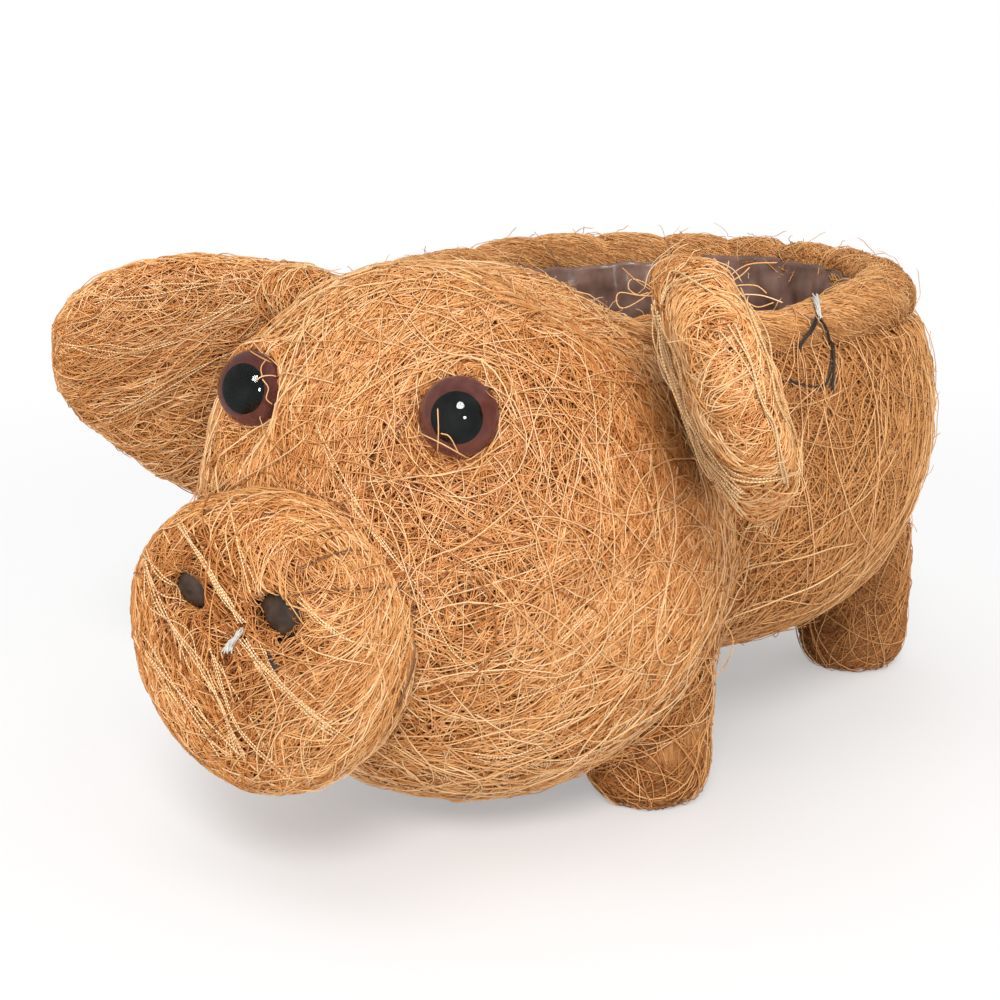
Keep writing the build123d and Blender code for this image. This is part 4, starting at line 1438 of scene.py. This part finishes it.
# Dark strands round the snout's upper right side.
DARK_STRANDS = (
    (4, 3.0, ((205, 508), (260, 494), (320, 496), (356, 512))),
    (3, 3.0, ((262, 520), (310, 512), (350, 522), (378, 548))),
    (2, 2.0, ((300, 570), (340, 556), (392, 560))),
    (2, 2.0, ((268, 596), (330, 592), (400, 588), (440, 575))),
    (2, 2.0, ((408, 590), (470, 586), (540, 560))),
    (3, 2.5, ((410, 560), (414, 610), (410, 660), (392, 710))),
)
threads("dark_strand", DARK_STRANDS, 0.36, (wire_thread, "fibre_head"), 1.2, (0.9, 1.0),
        [body_guide, snout_guide])
SLIT = ((4, 0.9, ((271, 653), (276, 661), (282, 671))),)
threads("snout_slit", SLIT, 0.55, (wire_thread, "dark_film"), 1.0, (0.2, 0.5), [snout_guide])


# Knots, the liner's tie and the roll's ties.
def strand_set(name, node, paths, outwards, thickness, tone, look):
    # Strands that stand for one solid.
    shape = (len(paths), len(paths[0]))
    tones = np.full(shape, tone) + draws.normal(0, 0.08, (shape[0], 1))
    radius = np.full(shape, thickness / 2 * MM)
    piece = tube_object(name, np.array(paths), np.array(outwards), radius, tones, *look, sides=6)
    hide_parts(node)


def frayed(pixels, count, stray, lift):
    # A tuft of short strands along a line of pixels, with spread ends.
    paths, outwards = [], []
    for _ in range(count):
        ends = draws.normal(0, stray, (len(pixels), 2)) * np.array([[0.5], [0.35], [1.0]])
        moved = np.array(pixels, float) + ends
        path, outward = draped(moved, 16, draws.uniform(*lift) * MM, 0.5 * MM, evened=2)
        paths.append(path)
        outwards.append(outward)
    return paths, outwards


WHITE_LOOK = (white_thread, "white_thread")
WIRE_LOOK = (wire_thread, "dark_wire")
snout_tuft = frayed(((245, 629), (239, 640), (231, 650)), 22, 2.6, (0.4, 1.6))
strand_set("snout_tuft", "snout_knot", *snout_tuft, 0.38, 0.45, WHITE_LOOK)
rim_tuft = frayed(((818, 320), (817, 311), (815, 301)), 20, 2.8, (0.4, 1.6))
strand_set("rim_tuft", "rim_knot", *rim_tuft, 0.38, 0.45, WHITE_LOOK)
TIE_RUNS = (
    (6, 1.2, ((816, 318), (810, 328), (803, 337), (796, 345))),
    (3, 1.3, ((816, 316), (824, 328), (829, 345), (831, 365), (829, 389))),
    (2, 1.0, ((829, 352), (827, 368), (820, 387), (790, 382), (763, 376), (754, 362))),
)
paths, outwards = [], []
for copies, stray, pixels in TIE_RUNS:
    for _ in range(copies):
        moved = np.array(pixels, float) + draws.normal(0, stray, (len(pixels), 2))
        path, outward = draped(moved, 60, draws.uniform(0.8, 1.6) * MM, trees=[body_guide, rope_guide])
        paths.append(path)
        outwards.append(outward)
strand_set("liner_tie_strands", "liner_tie", paths, outwards, 0.42, 0.42, WIRE_LOOK)
run = np.linspace(-0.15 * math.pi, 1.15 * math.pi, 50)
for number in range(TIE_COUNT):
    middle = math.radians(TIE_FIRST + TIE_STEP * number)
    crease = middle - (run - math.pi / 2) / (2 * math.pi) * math.radians(TIE_SPAN / LOBES_WITH_TIES)
    paths = [rope_places(crease + shift * MM / ROLL_RING_RADIUS, run, 0.35 * MM) for shift in (-0.25, 0.25)]
    ring_middle = rope_places(np.full(50, middle), run, -ROLL_RADIUS * 0.8)
    outwards = [unit(path - ring_middle) for path in paths]
    strand_set(f"rim_tie_strands_{number + 1}", f"rim_tie_{number + 1}", paths, outwards, 0.5, 0.75, WIRE_LOOK)

# The coats of fibre. Lower coats get darker tones and upper coats lighter ones: painted shade deep in the coat,
# painted light on top.
cover("head_fibres_under", body_guide, 6500, on_head, (14, 32), (0.38, 0.56), (0.0, 0.45), HEAD_LOOK,
      base=(-0.3, 0.2))
cover("head_fibres", body_guide, 6800, on_head, (15, 38), (0.32, 0.48), (0.18, 0.78), HEAD_LOOK,
      base=(0.1, 0.8), arch=(0, 1.0))
cover("head_fibres_over", body_guide, 2600, on_head, (22, 60), (0.28, 0.46), (0.5, 1.0), HEAD_LOOK,
      base=(0.6, 1.3), arch=(0, 1.2), bend=(25, 70))
cover("tub_fibres_under", body_guide, 6500, on_tub, (16, 36), (0.32, 0.48), (0.22, 0.46), BODY_LOOK,
      base=(-0.2, 0.3))
cover("tub_fibres", body_guide, 5600, on_tub, (18, 42), (0.26, 0.4), (0.30, 0.60), BODY_LOOK,
      base=(0.1, 0.8), arch=(0, 1.0), bend=(30, 80))
cover("tub_fibres_over", body_guide, 900, on_tub, (30, 70), (0.24, 0.34), (0.5, 0.85), BODY_LOOK, upward,
      spread=0.5, pull=0.06, base=(0.6, 1.2), arch=(0, 1.2), bend=(8, 20))
cover("leg_fibres", body_guide, 3600, on_leg, (10, 26), (0.26, 0.42), (0.0, 0.42), BODY_LOOK, around_tub,
      spread=0.9, pull=0.05, base=(-0.2, 0.5))
cover("rim_fibres", rope_guide, 4600, on_rope, (10, 26), (0.26, 0.38), (0.32, 0.86), ROLL_LOOK, along_rope,
      spread=0.25, pull=0.3, base=(-0.1, 0.3), arch=(0, 0.3), bend=(8, 20))
cover("snout_fibres_under", snout_guide, 2600, None, (12, 30), (0.36, 0.5), (0.02, 0.46), HEAD_LOOK,
      around_snout, spread=0.9, pull=0.05, base=(-0.3, 0.2))
cover("snout_fibres", snout_guide, 3000, None, (14, 40), (0.3, 0.44), (0.28, 0.92), HEAD_LOOK, around_snout,
      spread=0.6, pull=0.12, base=(0.1, 0.8))
# The far right ear's fibres get lighter tones: painted light where less lamp light falls on it.
for side, painted_light_lift in (("left", 0.0), ("right", 0.16)):
    cover(f"ear_fibres_under_{side}", ear_guides[side], 1700, None, (12, 30), (0.34, 0.5),
          (0.02 + painted_light_lift, 0.46 + painted_light_lift), HEAD_LOOK, base=(-0.3, 0.2))
    cover(f"ear_fibres_{side}", ear_guides[side], 2000, None, (14, 38), (0.3, 0.44),
          (0.28 + painted_light_lift, 0.88 + painted_light_lift), HEAD_LOOK, along_ear(side), spread=0.7, pull=0.08, base=(0.1, 0.8))


EYE_BAND = (8.8 * MM, 14 * MM)
EYE_BAND_HEIGHT = 11 * MM


def around_eye(eye):
    # Where fibres wind round an eye's edge, and their direction.
    def weight(places, normals):
        height, from_line = eye.along(places)
        in_band = (from_line > EYE_BAND[0]) & (from_line < EYE_BAND[1])
        return share_of(in_band & (np.abs(height) < EYE_BAND_HEIGHT))

    def field(places, normals):
        return unit(np.cross(np.array(eye.look), places - np.array(eye.base)) + 1e-9)

    return weight, field


for side, eye in eyes.items():
    weight, field = around_eye(eye)
    cover(f"eye_fibres_{side}", body_guide, 620, weight, (7, 17), (0.3, 0.42), (0.2, 0.8), HEAD_LOOK, field,
          spread=0.6, pull=0.3, base=(-0.2, 0.5), arch=(0, 0.4), bend=(15, 50))
for side, (x, z, half_width, half_height) in NOSTRILS.items():
    pit = from_tub(x, -166, z)

    def by_pit(places, normals, pit=pit, reach=half_width * MM + MM):
        return share_of(distance_from(places, pit) < reach)

    cover(f"nostril_hairs_{side}", snout_guide, 70, by_pit, (7, 17), (0.16, 0.3), (0.35, 1.1), HEAD_LOOK,
          base=(0.2, 1.2), arch=(0, 0.6), zones=False)


def patch(name, guide, x, y, size, run, count, length, thickness, tone, spread=0.22, swirl=False):
    # Fibres round one pixel that all run the same way over the picture, or all wind round it.
    centre, _, _ = front_hit(x, y, [guide])
    ahead_point, _, _ = front_hit(x + run[0], y + run[1], [guide])
    direction = unit(ahead_point - centre)

    def weight(places, normals):
        return np.exp(-(distance_from(places, centre) / (size * MM)) ** 2) * outside(places)

    def field(places, normals):
        return unit(np.cross(normals, places - centre) + 1e-9) if swirl else level_with(direction, normals)

    cover(name, guide, count, weight, length, thickness, tone, HEAD_LOOK, field, spread, 0.15,
          base=(0.3, 1.2), arch=(0, 0.8), bend=(8, 25))


patch("strands_by_ear", body_guide, 655, 455, 26, (3, 20), 800, (22, 50), (0.3, 0.44), (0.3, 0.75))
patch("strands_below_ear", body_guide, 700, 545, 15, (5, 20), 260, (18, 40), (0.3, 0.44), (0.3, 0.8))
patch("strands_below_eye", body_guide, 262, 455, 13, (2, 20), 260, (12, 28), (0.3, 0.44), (0.35, 0.75))
patch("strands_between_eyes", body_guide, 335, 410, 18, (8, -20), 320, (15, 40), (0.32, 0.46), (0.5, 0.85))
patch("strands_on_crown", body_guide, 470, 300, 22, (20, -6), 360, (22, 55), (0.32, 0.46), (0.5, 0.9), 0.5)
patch("strands_on_cheek", body_guide, 620, 640, 24, (14, -14), 300, (22, 50), (0.32, 0.46), (0.5, 0.9), 0.4)
patch("swirl_on_cheek", body_guide, 480, 600, 16, (10, 0), 300, (18, 40), (0.32, 0.46), (0.45, 0.9), 0.3, True)
patch("swirl_on_snout", snout_guide, 322, 560, 13, (10, 0), 420, (14, 34), (0.3, 0.44), (0.55, 0.95), 0.25,
      True)
patch("strands_on_snout", snout_guide, 330, 690, 12, (14, -10), 260, (16, 34), (0.3, 0.44), (0.5, 0.95))
patch("swirl_on_ear", ear_guides["left"], 706, 345, 11, (10, 0), 320, (12, 30), (0.3, 0.42), (0.5, 0.95),
      0.25, True)
patch("swirl_low_on_ear", ear_guides["left"], 742, 415, 11, (10, 0), 260, (12, 30), (0.3, 0.42), (0.5, 0.95),
      0.25, True)
patch("strands_on_far_ear", ear_guides["right"], 120, 350, 20, (18, -6), 400, (16, 40), (0.3, 0.42),
      (0.35, 0.8))


CROWN_EDGE = (from_tub(8, -92, 118), from_tub(48, -56, 200))


def by_opening(places, normals):
    # The crown's edge, beside the opening.
    low, high = (np.array(corner) for corner in CROWN_EDGE)
    return share_of(((places > low) & (places < high)).all(1))


# Stray fibres whose ends stand off, and how far they stand off.
for base, rise, *where in (
    ((0.4, 1.0), (1.0, 3.5), "head", body_guide, 260, on_head, (8, 22), (0.2, 0.32), (0.6, 1.0), HEAD_LOOK),
    ((0.3, 0.9), (1.5, 5.5), "crown", body_guide, 150, by_opening, (8, 18), (0.16, 0.28), (0.45, 1.0),
     HEAD_LOOK),
    ((0.4, 1.0), (1.0, 3.5), "tub", body_guide, 260, on_tub, (8, 22), (0.18, 0.3), (0.5, 0.95), BODY_LOOK),
    ((0.2, 0.6), (1.0, 4.0), "rim", rope_guide, 120, on_rope, (6, 16), (0.18, 0.3), (0.5, 0.95), ROLL_LOOK),
    ((0.3, 0.8), (1.0, 4.0), "ear", ear_guides["left"], 90, None, (8, 18), (0.2, 0.3), (0.7, 1.0), HEAD_LOOK),
):
    cover(f"{where[0]}_strays", *where[1:], base=base, rise=rise, bend=(20, 60))

# Eyes: a clear brown dome over a brown iris and a black pupil, these two by radius and height in millimetres.
IRIS = ((0, 0.12), (8.6, 0.12), (8.75, 0.4), (8.6, 1.5), (7.4, 1.9), (5.6, 2.15), (5.3, 2.1), (0, 2.0))
PUPIL = ((0, 0.9), (4.5, 0.9), (4.7, 1.2), (4.7, 2.35), (4.55, 2.5), (2.4, 2.6), (0, 2.62))
clear_dome, tree, shader = new_material("clear_dome")
connect(shader, {
    "Base Color": (0.95, 0.86, 0.84, 1), "Roughness": 0.02, "IOR": 1.49, "Transmission Weight": 1.0,
})
shadow = add_node(tree, "LightPath").outputs["Is Shadow Ray"]
through = add_node(tree, "BsdfTransparent", {"Color": (0.9, 0.8, 0.78, 1)})
surface = mixed(tree, shadow, shader.outputs["BSDF"], through.outputs["BSDF"])
connect(tree.nodes["Material Output"], {"Surface": surface})
brown_iris = speckled_material("brown_iris", (0.105, 0.038, 0.032), (0.15, 0.056, 0.047), 2 * MM, 0.35,
                               shine=0.0)
black_pupil = speckled_material("black_pupil", (0.004, 0.006, 0.0055), (0.010, 0.015, 0.014), 3 * MM, 0.6,
                                shine=0.0)
dome_reach = math.asin(EYE_RADIUS / EYE_BALL)
dome_outline = [(0, 0), (EYE_RADIUS - 0.2 * MM, 0), (EYE_RADIUS, 0.2 * MM)]
for share in np.linspace(0, 0.97, 22):
    turn = dome_reach * (1 - share)
    dome_outline.append((EYE_BALL * math.sin(turn), EYE_CROWN - EYE_BALL * (1 - math.cos(turn))))
dome_outline.append((0, EYE_CROWN))
for side, eye in eyes.items():
    dome = turned_form(eye, dome_outline)
    iris = turned_form(eye, in_metres(IRIS))
    pupil = turned_form(eye, in_metres(PUPIL))
    form_object(f"clear_dome_{side}", *dome, clear_dome, "eye_brown", [f"eye_dome_{side}"])
    form_object(f"iris_{side}", *iris, brown_iris, "eye_brown")
    form_object(f"pupil_{side}", *pupil, black_pupil, "eye_black", [f"eye_pupil_{side}"])

# The frame's wires and the posts of the eyes, which the fibre hides.
steel = speckled_material("steel", (0.30, 0.28, 0.26), (0.48, 0.46, 0.43), 3 * MM, 0.38, metal=1.0,
                          bump_height=0.05 * MM)
black_plastic = speckled_material("black_plastic", (0.012, 0.012, 0.012), (0.03, 0.028, 0.026), 2 * MM, 0.4)
for name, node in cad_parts.items():
    for start, material in (("frame_", steel), ("eye_post", black_plastic)):
        if name.startswith(start):
            node.data.materials.clear()
            node.data.materials.append(material)

# Floor, lamps and world. The camera sees the floor fade into white, and reflections see a dimmer room.
FLOOR_REACH = 6.0
FLOOR_FADE = (0.16, 0.62)
FLOOR_LEAST = 0.35
DIM_ROOM = 0.32
ROOM_LIGHT = 0.6
LAMP_TARGET = Vector((0, 0, 0.07))
LAMP_DISTANCE = 2.0
WHITE = (1, 1, 1, 1)


def seen_directly(tree):
    # 1 where the camera sees a surface, also through clear plastic.
    path = add_node(tree, "LightPath").outputs
    return larger(tree, path["Is Camera Ray"], path["Is Transmission Ray"])


def with_reflections(tree, seen, dim):
    return mixed(tree, add_node(tree, "LightPath").outputs["Is Glossy Ray"], seen, dim)


floor_mesh = bpy.data.meshes.new("floor")
floor_corners = [(x * FLOOR_REACH, y * FLOOR_REACH, 0) for x, y in ((-1, -1), (1, -1), (1, 1), (-1, 1))]
floor_mesh.from_pydata(floor_corners, [], [(0, 1, 2, 3)])
floor = new_object("floor", floor_mesh)
pale, tree, shader = new_material("pale_floor")
connect(shader, {"Base Color": (0.93, 0.93, 0.93, 1), "Roughness": 0.85, "Specular IOR Level": 0.1})
glow = add_node(tree, "Emission")
reach = add_node(tree, "VectorMath", {0: place_on_object(tree)}, operation="LENGTH")
fade = add_node(tree, "MapRange", {
    "Value": reach.outputs["Value"],
    "From Min": FLOOR_FADE[0],
    "From Max": FLOOR_FADE[1],
    "To Min": FLOOR_LEAST,
}, interpolation_type="SMOOTHSTEP")
white_share = add_node(tree, "Math", {0: seen_directly(tree), 1: fade.outputs["Result"]}, operation="MULTIPLY")
seen = mixed(tree, white_share.outputs["Value"], shader.outputs["BSDF"], glow.outputs["Emission"])
dim = add_node(tree, "Emission", {"Strength": DIM_ROOM})
connect(tree.nodes["Material Output"], {"Surface": with_reflections(tree, seen, dim.outputs["Emission"])})
floor_mesh.materials.append(pale)


def lamp(name, turn, rise, size, power):
    # A round soft lamp by its direction from the object: degrees from the front to the left, and upward.
    data = bpy.data.lights.new(name, "AREA")
    data.shape = "DISK"
    data.size = size
    data.energy = power
    light = new_object(name, data)
    light.location = LAMP_TARGET + facing(turn, rise) * LAMP_DISTANCE
    light.rotation_mode = "QUATERNION"
    light.rotation_quaternion = (light.location - LAMP_TARGET).to_track_quat("Z", "Y")
    return light


lamp("key", 36, 39, 0.66, 24.5)
lamp("low", 48, 8, 0.3, 6.5)
lamp("overhead", 10, 70, 1.2, 6).visible_glossy = False

world = bpy.data.worlds.new("studio")
bpy.context.scene.world = world
world.use_nodes = True
tree = world.node_tree
room = tree.nodes["Background"]
connect(room, {"Color": WHITE, "Strength": ROOM_LIGHT})
bright = add_node(tree, "Background", {"Color": WHITE})
dim = add_node(tree, "Background", {"Color": WHITE, "Strength": DIM_ROOM})
seen = mixed(tree, seen_directly(tree), room.outputs["Background"], bright.outputs["Background"])
connect(tree.nodes["World Output"], {"Surface": with_reflections(tree, seen, dim.outputs["Background"])})
bpy.context.scene.view_settings.view_transform = "Standard"
